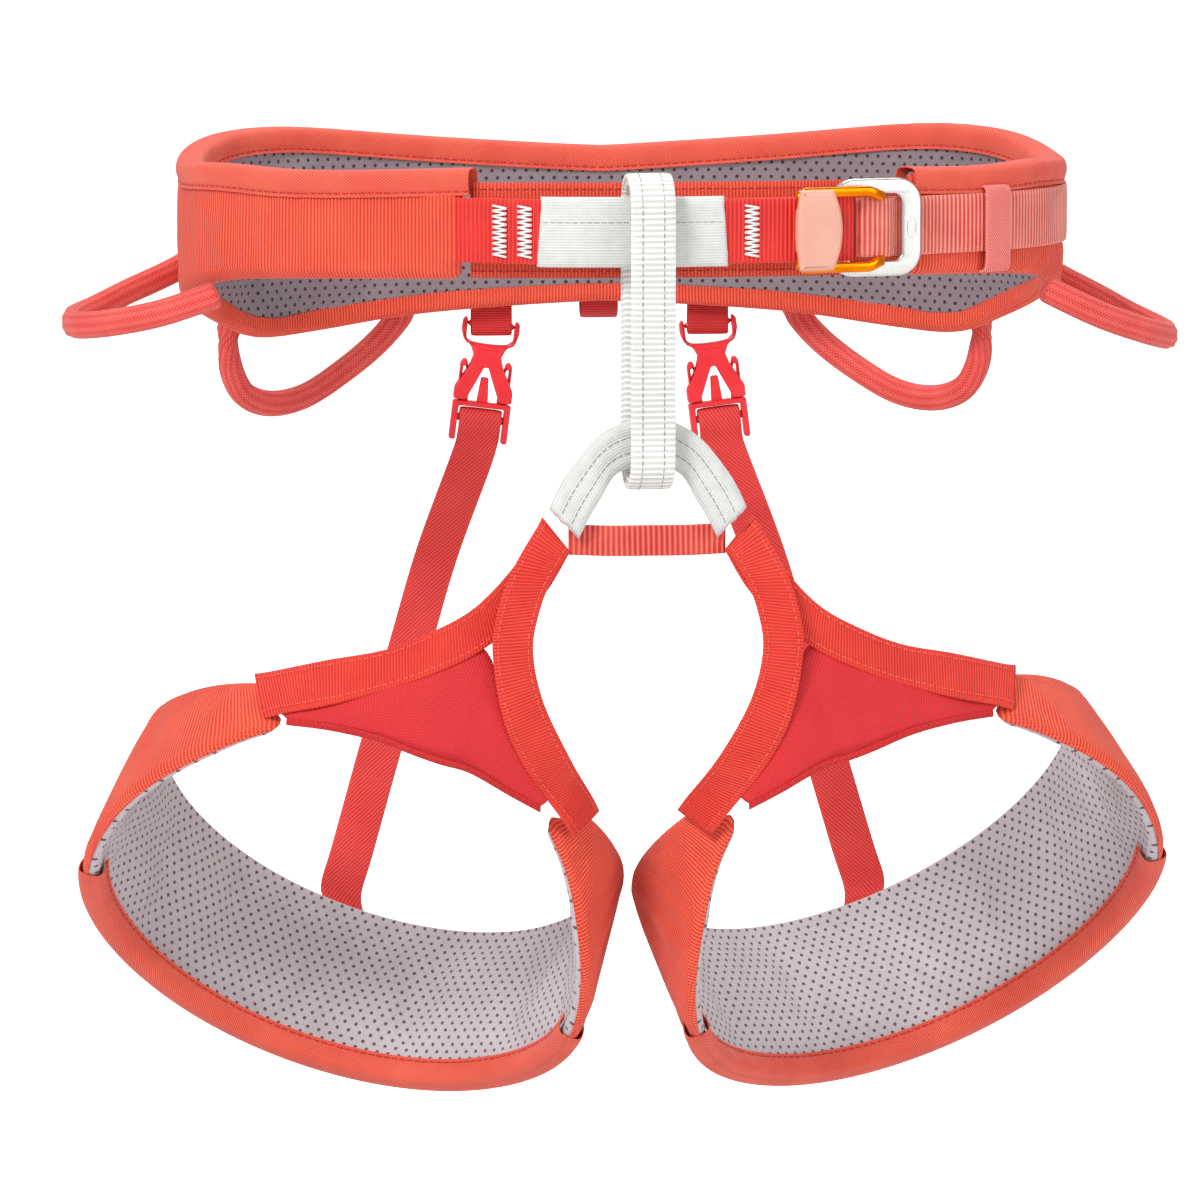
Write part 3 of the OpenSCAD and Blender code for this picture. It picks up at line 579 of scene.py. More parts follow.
def edge_points(row):
    return Vector(row[:3]), Vector(row[3:])


def strap_frames(rows):
    """For each row: its two edge points, the face's normal and the length so far."""
    frames = []
    mids = [(edge_points(r)[0] + edge_points(r)[1]) / 2 for r in rows]
    length = 0.0
    for i, row in enumerate(rows):
        a, b = edge_points(row)
        if i:
            length += (mids[i] - mids[i - 1]).length
        frames.append((a, b, direction(mids, i).cross(b - a).normalized(), length))
    return frames


def strap(rows, across=8, crown=0.0, start=0.0):
    """Flat strap through rows. crown lifts its middle line, start shifts the pattern."""
    frames = strap_frames(rows)

    def place(i, j):
        a, b, up, length = frames[i]
        t = j / across
        width = (b - a).length
        inside = min(t, 1 - t) * width
        point = a.lerp(b, t) + up * crown * (1 - (2 * t - 1) ** 2)
        return point, (length + start, t * width), max(0.0, 1 - inside / 1.4)

    return woven(len(rows) - 1, across, place)


def upright(route, low, high):
    """Rows of an upright strap that follows a route in plan."""
    return [Vector((p[0], p[1], low, p[0], p[1], high)) for p in route]


def swept(line, wide, thin, up, around=24, square=2.0, ridges=0, ridge=0.0, taper=0.0):
    """A rod or braided tube along a line.

    square shapes its section, ridges run along it, taper rounds its ends.
    """
    length = sum((b - a).length for a, b in zip(line, line[1:]))
    done = [0.0]
    for a, b in zip(line, line[1:]):
        done.append(done[-1] + (b - a).length)
    girth = math.pi * (wide + thin) / 2

    def place(i, j):
        ahead = direction(line, i)
        u = (up - ahead * up.dot(ahead)).normalized()
        v = ahead.cross(u)
        t = 2 * math.pi * j / around
        end = min(done[i], length - done[i])
        shrink = 1.0 if not taper or end >= taper else math.sqrt(max(0.0, 1 - (1 - end / taper) ** 2))
        wale = 0.5 + 0.5 * math.cos(ridges * t) if ridges else 0.0
        grow = shrink * (1 + ridge * (wale - 0.5))
        point = line[i] + u * wide / 2 * power(math.cos(t), 2 / square) * grow
        return point + v * thin / 2 * power(math.sin(t), 2 / square) * grow, (done[i], girth * j / around), wale

    return woven(len(line) - 1, around, place, wrap=True)


def stitch_template():
    """One stitch along X, unit long and unit thick, from a small sphere pulled out to a rod."""
    bm = bmesh.new()
    bmesh.ops.create_uvsphere(bm, u_segments=6, v_segments=3, radius=0.5,
                              matrix=Matrix.Rotation(math.pi / 2, 4, "Y"))
    mesh = bpy.data.meshes.new("stitch")
    bm.to_mesh(mesh)
    bm.free()
    return mesh


STITCH = stitch_template()


def add_stitch(bm, a, b, up, thickness):
    """Sews one stitch from a to b, lying on a face whose normal is up, in millimetres."""
    ahead = (b - a).normalized()
    side = up.cross(ahead).normalized()
    turn = Matrix((ahead, side, ahead.cross(side))).transposed().to_4x4()
    first = len(bm.verts)
    bm.from_mesh(STITCH)
    bm.verts.ensure_lookup_table()
    made = bm.verts[first:]
    half = (b - a).length / 2
    for v in made:
        v.co = Vector((math.copysign(half - thickness / 2, v.co.x) + v.co.x * thickness, v.co.y * thickness,
                       v.co.z * thickness))
    bmesh.ops.transform(bm, matrix=Matrix.Translation((a + b) / 2) @ turn, verts=made)
    bmesh.ops.scale(bm, vec=(MM, MM, MM), verts=made)


def sew(bm, line, ups, pitch=3.0, length=2.3, thickness=0.5, slant=0.0):
    """A row of stitches along a line."""
    even_line = even(line, pitch)
    for i in range(len(even_line) - 1):
        where = i / max(1, len(even_line) - 1) * (len(ups) - 1)
        up = ups[int(where)]
        ahead = (even_line[i + 1] - even_line[i]).normalized()
        middle = even_line[i].lerp(even_line[i + 1], 0.5)
        run = (ahead + up.cross(ahead) * slant).normalized() * length / 2
        add_stitch(bm, middle - run, middle + run, up, thickness)


def strap_line(rows, t, lift):
    """Line along a strap, t of the way across and lift above its middle surface, with the face's normals."""
    frames = strap_frames(rows)
    return [a.lerp(b, t) + up * lift for a, b, up, _ in frames], [up * (1 if lift > 0 else -1)
                                                                   for _, _, up, _ in frames]


def zigzag(bm, rows, t0, t1, lift, pitch, thickness=0.45):
    """Zigzag thread between two lines of a strap."""
    one, ups = strap_line(rows, t0, lift)
    two, _ = strap_line(rows, t1, lift)
    count = len(even(one, pitch)) - 1
    first, second = even(one, pitch), even(two, pitch)
    for i in range(min(count, len(second) - 1)):
        up = ups[int(i / count * (len(ups) - 1))]
        a, b = (first[i], second[i + 1]) if i % 2 == 0 else (second[i], first[i + 1])
        add_stitch(bm, a, b, up, thickness)


def band(rows, thick, around=20, square=5.0, ridges=0, ridge=0.0, ends=0.0, ragged=0.0):
    """Thick webbing through rows, its edges rounded.

    ridges run along it, and ends rounds off its two ends.
    """
    frames = strap_frames(rows)
    length = frames[-1][3]

    def place(i, j):
        a, b, up, along = frames[i]
        t = 2 * math.pi * (j % around) / around
        end = min(along, length - along)
        close = math.sqrt(max(0.0, 1 - (1 - end / ends) ** 2)) if end < ends else 1.0
        s = power(math.cos(t), 2 / square)
        wale = 1 - ridge * math.cos(math.pi * ridges * (s + 1))
        lift = thick / 2 * power(math.sin(t), 2 / square) * close * wale
        point = (a + b) / 2 + (b - a) / 2 * s + up * lift
        if ragged:
            near = ease(1 - end / 6) * (1 if along < length / 2 else -1)
            forward = direction([r[0] for r in frames], i)
            point += forward * near * ragged * math.sin(3.1 * s + 1.7 * math.sin(5 * s))
        return point, (along, s * (b - a).length / 2), max(0.0, (abs(s) - 0.86) / 0.14)

    return woven(len(rows) - 1, around, place, wrap=True)


def rod(line, r, square=2.0, taper=0.6):
    return swept([Vector(p) for p in line], 2 * r, 2 * r, Vector((0, 0, 1)), around=24, square=square,
                 taper=taper)


def plate(bm, outline, holes, thick, bevel, where, lift=0.0):
    """Adds a moulded or stamped plate with rounded edges.

    It is drawn flat and then put in place by the matrix where.
    """
    curve = bpy.data.curves.new("outline", "CURVE")
    curve.dimensions = "2D"
    curve.fill_mode = "BOTH"
    curve.extrude = (thick / 2 - bevel) * MM
    curve.bevel_depth = bevel * MM
    curve.offset = -bevel * MM
    curve.bevel_resolution = 3
    for ring in [outline, *holes]:
        spline = curve.splines.new("POLY")
        spline.points.add(len(ring) - 1)
        for point, (x, y) in zip(spline.points, ring):
            point.co = (x * MM, y * MM, 0, 1)
        spline.use_cyclic_u = True
    obj = bpy.data.objects.new("outline", curve)
    mesh = bpy.data.meshes.new_from_object(obj)
    part = bmesh.new()
    part.from_mesh(mesh)
    bmesh.ops.remove_doubles(part, verts=part.verts, dist=0.004 * MM)
    bmesh.ops.translate(part, vec=(0, 0, lift * MM), verts=part.verts)
    bmesh.ops.transform(part, matrix=where, verts=part.verts)
    part.to_mesh(mesh)
    part.free()
    bm.from_mesh(mesh)
    bpy.data.objects.remove(obj)
    bpy.data.meshes.remove(mesh)
    bpy.data.curves.remove(curve)


def rounded(points, r, steps=5):
    """A closed outline with its corners rounded."""
    pts = [Vector(p) for p in points]
    ring = []
    for i, p in enumerate(pts):
        before, after = pts[i - 1], pts[(i + 1) % len(pts)]
        back, ahead = before - p, after - p
        cut = min(r, back.length * 0.45, ahead.length * 0.45)
        start, end = p + back.normalized() * cut, p + ahead.normalized() * cut
        for k in range(steps + 1):
            t = k / steps
            ring.append(start * (1 - t) ** 2 + p * 2 * t * (1 - t) + end * t * t)
    return ring


def hard(name, bm, material, body, side="right", nodes=()):
    """A moulded or metal piece: flat faces stay flat and its bevels shade smoothly."""
    bmesh.ops.recalc_face_normals(bm, faces=bm.faces)
    obj = piece(name, bm, material, body, side, nodes)
    flat = obj.modifiers.new("flat_faces", "WEIGHTED_NORMAL")
    flat.keep_sharp = True
    flat.weight = 100
    return obj


# ---- the camera, the light and the floor ----

target = Vector((-0.008, 0, -0.144))
camera_data = bpy.data.cameras.new("camera")
camera_data.lens = 244.8
camera_data.sensor_width = 36
camera_data.clip_end = 200
camera = bpy.data.objects.new("camera", camera_data)
turn, rise = math.radians(-5), math.radians(7)
camera.location = target + 3 * Vector((math.sin(turn) * math.cos(rise), -math.cos(turn) * math.cos(rise),
                                       math.sin(rise)))
camera.rotation_euler = (target - camera.location).to_track_quat("-Z", "Y").to_euler()
scene.collection.objects.link(camera)
scene.camera = camera


def area_light(name, place, size, power_w):
    light = bpy.data.lights.new(name, "AREA")
    light.size = size
    light.energy = power_w
    obj = bpy.data.objects.new(name, light)
    obj.location = place
    obj.rotation_euler = (target - Vector(place)).to_track_quat("-Z", "Y").to_euler()
    scene.collection.objects.link(obj)


area_light("key_light", (-1.3, -1.7, 1.5), 0.8, 45)
area_light("fill_light", (1.8, -1.7, 0.5), 1.2, 16)
area_light("top_light", (0.1, 0.5, 1.9), 1.0, 18)
world = bpy.data.worlds.new("studio")
world.use_nodes = True
world.node_tree.nodes["Background"].inputs["Color"].default_value = (1, 1, 1, 1)
world.node_tree.nodes["Background"].inputs["Strength"].default_value = 0.56
scene.world = world
scene.view_settings.view_transform = "Standard"

floor_bm = bmesh.new()
bmesh.ops.create_grid(floor_bm, x_segments=1, y_segments=1, size=30)
floor_mesh = bpy.data.meshes.new("floor")
floor_bm.to_mesh(floor_mesh)
floor_bm.free()
floor = bpy.data.objects.new("floor", floor_mesh)
floor.location = (0, 0, -0.42)
floor_finish = Finish("pale_floor", 0.9)
floor_finish.colour(srgb(235, 235, 235))
seen = floor_finish.nodes.new("ShaderNodeLightPath")
floor_finish.shader.inputs["Emission Color"].default_value = (1, 1, 1, 1)
floor_finish.links.new(seen.outputs["Is Camera Ray"], floor_finish.shader.inputs["Emission Strength"])
floor_mesh.materials.append(floor_finish.material)
scene.collection.objects.link(floor)
floor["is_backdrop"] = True

# ---- padded belt ----


def rounded_ring(cells, cap):
    """Places round a slab with rounded edges: which side, share of its height, and rise past its edge."""
    face = [(1.0, k / cells, 0.0) for k in range(cells + 1)]
    over = [(math.cos(math.pi * k / cap), 1.0, math.sin(math.pi * k / cap)) for k in range(1, cap)]
    return [*face, *over, *((-s, 1 - q, -d) for s, q, d in [*face, *over])]


def slab(stations, shape, outer, inner, r, cells, cap, covered, held):
    """A closed pad.

    shape(a, q, rise, off) is a point on it, held(a, s, q, along) how firmly it is held there.
    """
    ring = rounded_ring(cells, cap)
    length = stations[-1][1]

    def place(i, j):
        a, along = stations[i]
        s, q, d = ring[j % len(ring)]
        end = min(along, length - along)
        thin = math.sqrt(max(0.0, 1 - (1 - end / 4) ** 2)) if end < 4 else 1.0
        corner = 2.5 * (1 - math.sqrt(max(0.0, 1 - (1 - end / 2.5) ** 2))) if end < 2.5 else 0.0
        off = (outer + inner) / 2 + s * (outer - inner) / 2 * thin
        point = shape(a, q, d * r - corner * (2 * q - 1), off, along)
        firm = 1.0 if end < 3.5 or abs(d) > 0.01 else held(a, s, q, along)
        return point, (along, shape(a, q, d * r, off, along, True)), firm

    return woven(len(stations) - 1, len(ring), place, wrap=True, mark=lambda j: int(covered(j)))


def swell(bm, pressure, most, give=-0.02):
    """Swells a closed pad with Blender's cloth. The edge layer says how firmly each point is held."""
    mesh = bpy.data.meshes.new("swelling")
    bm.to_mesh(mesh)
    obj = bpy.data.objects.new("swelling", mesh)
    scene.collection.objects.link(obj)
    firm = obj.vertex_groups.new(name="firm")
    layer = bm.verts.layers.float["edge"]
    bm.verts.index_update()
    for v in bm.verts:
        firm.add([v.index], v[layer], "REPLACE")
    cloth = obj.modifiers.new("cloth", "CLOTH")
    cloth.settings.quality = 8
    cloth.settings.mass = 0.15
    cloth.settings.tension_stiffness = 25
    cloth.settings.compression_stiffness = 25
    cloth.settings.bending_stiffness = 0.6
    cloth.settings.shrink_min = give
    cloth.settings.use_pressure = True
    cloth.settings.uniform_pressure_force = pressure
    cloth.settings.effector_weights.gravity = 0
    cloth.settings.vertex_group_mass = "firm"
    cloth.point_cache.frame_start = 1
    cloth.point_cache.frame_end = 20
    for number in range(1, 21):
        scene.frame_set(number)
    done = obj.evaluated_get(bpy.context.evaluated_depsgraph_get()).data
    moves = [done.vertices[v.index].co - v.co for v in bm.verts]
    for v, move in zip(bm.verts, moves):
        v.co += move if move.length < most * MM else move.normalized() * most * MM
    bpy.data.objects.remove(obj)
    scene.frame_set(1)


def cover_from(pad):
    """The cover on a pad: its marked faces, just outside it."""
    bm = pad.copy()
    bmesh.ops.delete(bm, geom=[f for f in bm.faces if f.material_index == 0], context="FACES")
    for face in bm.faces:
        face.material_index = 0
    bm.normal_update()
    for v in bm.verts:
        v.co += v.normal * 0.15 * MM
    return bm


BELT_R, BELT_CELLS, CAP = 3.3, 14, 6
belt_stations = even_angles(lambda a: belt_pt(a, 0, 0), BELT_FROM, BELT_TO, 2.6)


def belt_shape(a, q, rise, off, along, height=False):
    low, top = belt_low(a) + BELT_R + 0.2, belt_top(a) - BELT_R - 0.6
    z = low + q * (top - low) + rise
    if height:
        return z
    fold = 0.45 * math.cos(2 * math.pi * along / 9.3 + 0.02 * z) * ease((a - 203) / 8) * ease((249 - a) / 6)
    return belt_pt(a, off + (fold if off > -4 else 0) * math.sin(math.pi * min(1, q * 1.1)), z)


def belt_held(a, s, q, along):
    z = belt_shape(a, q, 0, 0, 0, True)
    if z > belt_top(a) - 10 or (s > 0 and a < 18 and -13 < z < 12):
        return 1.0
    return 0.0


belt = slab(belt_stations, belt_shape, -0.6, -7.2, BELT_R, BELT_CELLS, CAP,
            lambda j: j < BELT_CELLS + 2 or j >= 2 * BELT_CELLS + CAP - 1, belt_held)
swell(belt, 3.0, 1.6)
belt_cover = cover_from(belt)
for v in belt_cover.verts:
    x, y, z = v.co / MM
    if y < -70 and x < 0:
        v.co.y -= 3.0 * MM * ease((x + 86) / 18) * ease((13.5 - abs(z - MID_Z)) / 3)
for face in belt.faces:
    face.material_index = 0
# The belt pad takes the darker belt lining, whose darkness is painted shade.
belt_pad = piece("belt_pad", belt, SHADED_BELT_LINER, "harness", nodes=("waist_foam", "waist_liner"),
                 finer=1)
belt_skin = piece("belt_cover", belt_cover, COVER, "harness", nodes=("waist_shell",),
                  thick=0.45, offset=1, finer=1)

TAPE_EDGE = smooth([(1.0, -9), (0.7, -8.3), (0.4, -7.6), (0.9, -6.7), (1.45, -4.5), (1.35, -2.2),
                    (0.5, -0.5),
                    (-1.4, 0.15), (-3.8, 0.3), (-6.2, 0.15), (-8.0, -0.5), (-8.8, -2.2), (-8.9, -4.5),
                    (-8.3, -6.7), (-7.9, -7.6), (-8.2, -8.3), (-8.4, -9)], 2)
tape_lengths = [0.0]
for one, two in zip(TAPE_EDGE, TAPE_EDGE[1:]):
    tape_lengths.append(tape_lengths[-1] + (two - one).length)


def edge_tape(stations, point):
    """Tape folded over a padded edge. point(a, off, drop) is a place on it."""

    def place(i, j):
        a, along = stations[i]
        off, drop = TAPE_EDGE[j]
        pull = 0.12 * math.sin(along * 2.1 / 3) * hump(abs(drop), 6, 3)
        mark = 1.0 if j in (0, len(TAPE_EDGE) - 1) else 0.0
        return point(a, off + pull, drop), (along, tape_lengths[j]), mark

    return woven(len(stations) - 1, len(TAPE_EDGE) - 1, place)


tape_stations = even_angles(lambda a: belt_pt(a, 0, 0), BELT_FROM, BELT_TO + 1.5, 2.4)
piece("belt_edge_tape", edge_tape(tape_stations, lambda a, off, drop: belt_pt(a, off, belt_top(a) + drop)),
      TAPE, "harness", nodes=("waist_binding",), thick=0.6, finer=1)


def edge_seam(stations, point):
    """The two rows of stitches that hold an edge tape."""
    bm = bmesh.new()
    for off, out in ((0.85, 1), (-8.35, -1)):
        line = [point(a, off, -7.6) for a, _ in stations]
        ups = [(point(a, off + out, -7.6) - point(a, off, -7.6)).normalized() for a, _ in stations]
        sew(bm, line, ups, pitch=3.1, length=2.3, thickness=0.55)
    return bm


piece("belt_edge_stitches",
      edge_seam(tape_stations, lambda a, off, drop: belt_pt(a, off, belt_top(a) + drop)),
             RED_THREAD, "harness")

# ---- flap behind the tie-in webbing ----

flap_route = [belt_xy(a, off) for a, off in
              smooth([(251, -4.5), (262, -4.5), (278, -4.5), (290, -4.5), (297, -6), (302, -9.6),
                      (311, -9.6)], 5)]
flap_rows = strap_rows(upright(flap_route, -18, 16), steps=1, step=1.8)
flap_bm = strap(flap_rows, across=14, crown=0.8)
flap = piece("closing_flap", flap_bm, COVER, "harness", nodes=("front_flap",), thick=0.9)
seam = bmesh.new()
for share in (0.07, 0.93):
    sew(seam, *strap_line(flap_rows, share, 0.75), pitch=3.0, length=2.2, thickness=0.5)
flap_seam = piece("closing_flap_stitches", seam, RED_THREAD, "harness")

# ---- tie-in webbing and the white wear sleeve ----

HINGE_BAR = Vector((70.5, -92))
BUCKLE_TURN = math.radians(14)


def at_buckle(x, y):
    """Buckle axes to plan: x runs along the belt and y inwards, from the hinge bar."""
    c, s = math.cos(BUCKLE_TURN), math.sin(BUCKLE_TURN)
    return HINGE_BAR + Vector((x * c - y * s, x * s + y * c))


def buckle_arc(x, r, a0, a1, n=10):
    return [at_buckle(*p) for p in arc((x, 0), r, a0, a1, n)]


FOLD_R = 3.05
sleeve_line = smooth([(-38.5, -100.2), (-28, -102.6), (-14, -103.8), (0, -104), (14, -103.6), (28, -102)], 4)
lead = smooth([(-74, -84.6), (-68, -87.2), (-63, -90.2), (-55, -93.2), (-46, -97), (-38.5, -100.2)], 4)
run = smooth([(28, -102), (42, -100.2), (55, -98.4), at_buckle(-3, -FOLD_R)], 4)
back = smooth([at_buckle(-4, FOLD_R), (56, -94.4), (46, -97.3), (34, -99)], 4)
web_line = [*lead[:-1], *sleeve_line[:-1], *run[:-1], *buckle_arc(0, FOLD_R, -90, 90), *back]
web_rows = strap_rows(upright(web_line, MID_Z - WEB_HALF, MID_Z + WEB_HALF), steps=1, step=1.1)
piece("tie_in_webbing", band(web_rows, 2.0), WEBBING, "harness", nodes=("front_webbing",))

sleeve_rows = strap_rows(upright(sleeve_line, MID_Z - WEB_HALF - 1, MID_Z + WEB_HALF + 1), steps=1, step=1.3)
piece("tie_in_wear_sleeve", band(sleeve_rows, 5.5, around=40, square=3.4, ends=1.6, ragged=0.7), WHITE_CLOTH,
      "harness", nodes=("tie_in_sleeve",))
sleeve_seam = bmesh.new()
sew(sleeve_seam, *strap_line(sleeve_rows[2:-2], 0.64, 2.7), pitch=2.6, length=2.0, thickness=0.4)
piece("wear_sleeve_stitches", sleeve_seam, GREY_THREAD, "harness")

tacks = bmesh.new()
for x, y, tilt in ((-52, -96.0, -23), (-43.4, -99.6, -22), (37, -102.2, 7)):
    ahead = Vector((math.cos(math.radians(tilt)), math.sin(math.radians(tilt)))) * 2.75
    rows = [Vector((x - ahead.x, y - ahead.y, z, x + ahead.x, y + ahead.y, z)) for z in (8.6, -0.5, -9.6)]
    zigzag(tacks, strap_rows(rows, steps=6, step=0.8), 0, 1, 0.3, 0.95, thickness=0.95)
piece("front_bartacks", tacks, WHITE_THREAD, "harness", nodes=("front_bartacks",))

# ---- waist buckle ----

BUCKLE = (Matrix.Translation(Vector((HINGE_BAR.x, HINGE_BAR.y, MID_Z)) * MM)
          @ Matrix.Rotation(BUCKLE_TURN, 4, "Z") @ Matrix.Rotation(math.pi / 2, 4, "X"))


def box_ring(x0, x1, h, r0, r1, steps=6):
    """Outline of a plate x0 to x1 long and h high, its corners rounded by r0 at x0 and by r1 at x1."""
    ring = []
    for x, y, r, start in ((x1 - r1, h / 2 - r1, r1, 0), (x0 + r0, h / 2 - r0, r0, 90),
                           (x0 + r0, r0 - h / 2, r0, 180), (x1 - r1, r1 - h / 2, r1, 270)):
        ring += arc((x, y), r, start, start + 90, steps)
    return ring


frame_bm = bmesh.new()
plate(frame_bm, box_ring(-5, 29.5, 35, 9, 9, 10), [box_ring(2.4, 22, 23.8, 0.8, 3)], 3.2, 1.0, BUCKLE)
oval = [(25.8 + 1.9 * math.cos(t), 3.9 * power(math.sin(t), 0.8))
        for t in (math.pi * k / 14 for k in range(28))]
inner_oval = [(25.8 + (x - 25.8) * 0.7, y * 0.82) for x, y in oval]
plate(frame_bm, oval, [inner_oval], 3.6, 0.15, BUCKLE)
hard("buckle_front_frame", frame_bm, SILVER, "buckle_frame", nodes=("buckle_front_frame",))
bar_line = [Vector((HINGE_BAR.x, HINGE_BAR.y, MID_Z - 13.2 + 2.2 * k)) for k in range(13)]
piece("buckle_hinge_bar", swept(bar_line, 3.5, 3.5, Vector((1, 0, 0)), around=28), SILVER, "buckle_frame")

for name, z0 in (("upper", 13.4), ("lower", -13.4)):
    level = [(-19, -6.2), (-8, -6.25), (2, -6.2), (8.5, -6.0), (12, -4.8), (13.6, -2.6), (13.4, 0.4)]
    line = [Vector((*at_buckle(*p), MID_Z + z0 - math.copysign(1.8, z0) * ease((p[0] - 7) / 6)))
            for p in smooth(level, 5)]
    piece(f"buckle_fork_{name}_arm",
          swept(line, 3.7, 3.2, Vector((0, 0, 1)), around=32, square=3.6, taper=1.2),
          ANODISED, "buckle_fork")
slide_line = [Vector((*at_buckle(12.5, 0), MID_Z - 12.6 + 2.1 * k)) for k in range(13)]
piece("buckle_slide_bar", swept(slide_line, 2.8, 2.8, Vector((1, 0, 0)), around=24), ANODISED, "buckle_fork",
              nodes=("buckle_fork_frame",))
cross_line = [Vector((*at_buckle(-18.2, -6.2), MID_Z - 13.8 + 27.6 * k / 12)) for k in range(13)]
piece("buckle_fork_cross_bar", swept(cross_line, 3.2, 3.0, Vector((1, 0, 0)), around=24, square=3), ANODISED,
      "buckle_fork")


GRIP_H = 14.4
grip_ring = [(-20.2 + 1.3 * (z / GRIP_H) ** 2, z) for z in [GRIP_H - 2 * GRIP_H * k / 16 for k in range(17)]]
grip_ring += [(-3.0 - 3.4 * (z / GRIP_H) ** 2, z)
              for z in [-GRIP_H + 2 * GRIP_H * k / 16 for k in range(17)]]
grip_bm = bmesh.new()
plate(grip_bm, rounded(grip_ring, 1.4, 2), [], 5.0, 1.7, Matrix.Identity(4), lift=6.9)
bmesh.ops.transform(grip_bm, matrix=BUCKLE, verts=grip_bm.verts)
hard("buckle_grip", grip_bm, GRIP_PLASTIC, "buckle_fork", nodes=("buckle_grip",))

# ---- adjusting strap and its keeper ----

under = smooth([(24.5, 4.8), (20, 4.7), (15.5, 3.9), (11, 3.0)], 4)
over = smooth([(11, -2.5), (14, -2.3), (17, -0.9), (19.5, 1.6), (22, 2.6), (30, 2.6)], 4)
roll = [(11 - 5.6 * math.sin(t), 0.25 + 2.75 * math.cos(t)) for t in (math.pi * k / 14 for k in range(15))]
hip = smooth([belt_xy(a, 1.1) for a in range(307, 371, 7)], 4)
strap_plan = [*(at_buckle(*p) for p in [*under[:-1], *roll, *over[1:]]), *hip]
hip_rows = strap_rows(upright(strap_plan, MID_Z - STRAP_HALF, MID_Z + STRAP_HALF), steps=1, step=1.2)
piece("adjusting_strap", band(hip_rows, 1.6), STRAP, "harness", nodes=("adjusting_strap",))

keeper_line = [(0.4, 12.3), (2.0, 12.2), (3.0, 10.9), (3.15, 8), (3.15, 0), (3.1, -8), (3.1, -14),
               (2.4, -17.6), (0.4, -18.2)]
keeper_rows = [Vector((*belt_pt(322, off, z), *belt_pt(316, off, z))) for off, z in keeper_line]
piece("strap_keeper", band(strap_rows(keeper_rows, steps=4, step=0.9), 0.9, square=4), KEEPER, "harness",
      nodes=("strap_keeper",))

# ---- belay loop ----

BELAY_TURN = Matrix.Rotation(math.radians(4), 3, "Z")


def belay_rows(r, width, step=1.3):
    """Rows round one ply: down its front, round the bottom and up its back."""
    ring = [(-r * math.sin(t), 8 + r * math.cos(t)) for t in (math.pi * k / 16 for k in range(9))]
    ring += [(-r * math.cos(t), -79.5 - r * math.sin(t)) for t in (math.pi * k / 16 for k in range(17))]
    ring += [(r * math.cos(t), 8 + r * math.sin(t)) for t in (math.pi * k / 16 for k in range(9))]
    rows = []
    for y, z in even([Vector(p) for p in ring], step):
        a = Vector((0, SLEEVE_Y, 0)) + BELAY_TURN @ Vector((-width / 2, y, z))
        b = Vector((0, SLEEVE_Y, 0)) + BELAY_TURN @ Vector((width / 2, y, z))
        rows.append(Vector((*a, *b)))
    return rows


piece("belay_loop_inner_ply", band(belay_rows(9.1, 15), 2.1), WHITE_WEB, "belay_loop",
      nodes=("belay_inner_ply",))
outer_rows = belay_rows(11.35, 16)
piece("belay_loop_outer_ply", band(outer_rows, 2.1, around=24), WHITE_WEB, "belay_loop",
      nodes=("belay_outer_ply",))
belay_seam = bmesh.new()
for share in (0.26, 0.74):
    sew(belay_seam, *strap_line(outer_rows, share, 1.05), pitch=2.7, length=2.0, thickness=0.5)
piece("belay_loop_stitches", belay_seam, GREY_THREAD, "belay_loop")

# ---- lower tie-in point ----

ARCH = [((-35, -98), (-25, -110)), ((-32, -91.5), (-21, -102)), ((-28, -85), (-16.5, -94.5)),
        ((-19, -74), (-12, -87)), ((-9.5, -68), (-6.5, -84.4)), ((0, -66.5), (0, -83.6))]


def arch_rows(shrink, y):
    half = [(a[0], y, a[1], b[0], y, b[1]) for a, b in ARCH]
    other = [(-a[0], y, a[1], -b[0], y, b[1]) for a, b in ARCH[-2::-1]]
    rows = strap_rows([*half, *other], steps=4, step=1.5)
    for row in rows:
        a, b = edge_points(row)
        d = (b - a).normalized() * shrink
        row[:3], row[3:] = a + d, b - d
    return rows


lower_rows = arch_rows(0.0, SLEEVE_Y)
piece("lower_tie_in_sleeve",
      band(lower_rows, 6.0, around=56, square=2.8, ridges=3, ridge=0.09, ends=1.8, ragged=0.6),
      WHITE_CLOTH, "leg_bridge", nodes=("lower_tie_in_sleeve",))
arch_seam = bmesh.new()
for share in (0.34, 0.66):
    sew(arch_seam, *strap_line(lower_rows[2:-2], share, -2.75), pitch=2.6, length=2.0, thickness=0.4)
piece("lower_sleeve_stitches", arch_seam, GREY_THREAD, "leg_bridge")
piece("bridge_webbing", band(arch_rows(2.5, SLEEVE_Y)[2:-2], 2.2), WEBBING, "leg_bridge",
      nodes=("bridge_webbing",))
crotch_half = [(-28, -99.3, -104.5, -28, -99.3, -115.5), (-14, -100, -105, -14, -100.4, -116)]
crotch = strap_rows([*crotch_half, (0, -100.2, -105, 0, -100.8, -116),
                     *((-r[0], r[1], r[2], -r[3], r[4], r[5]) for r in crotch_half[::-1])], steps=5,
                    step=1.3)
piece("crotch_strap", band(crotch, 1.7), BRIDGE, "leg_bridge", nodes=("crotch_strap",))

# ---- haul loop and sewn anchors ----

haul_line = [Vector(p) for p in arc((95.4, -26), 2.05, 180, 0, 10)]
haul_line += arc((98.0, -43), 4.7, 0, -180, 18)
haul_line.append(haul_line[0].copy())
haul_rows = [Vector((-7, y, z, 7, y, z)) for y, z in even(haul_line, 1.1)]
piece("haul_loop", band(haul_rows, 1.5), HANGER, "haul_loop", nodes=("haul_loop",))

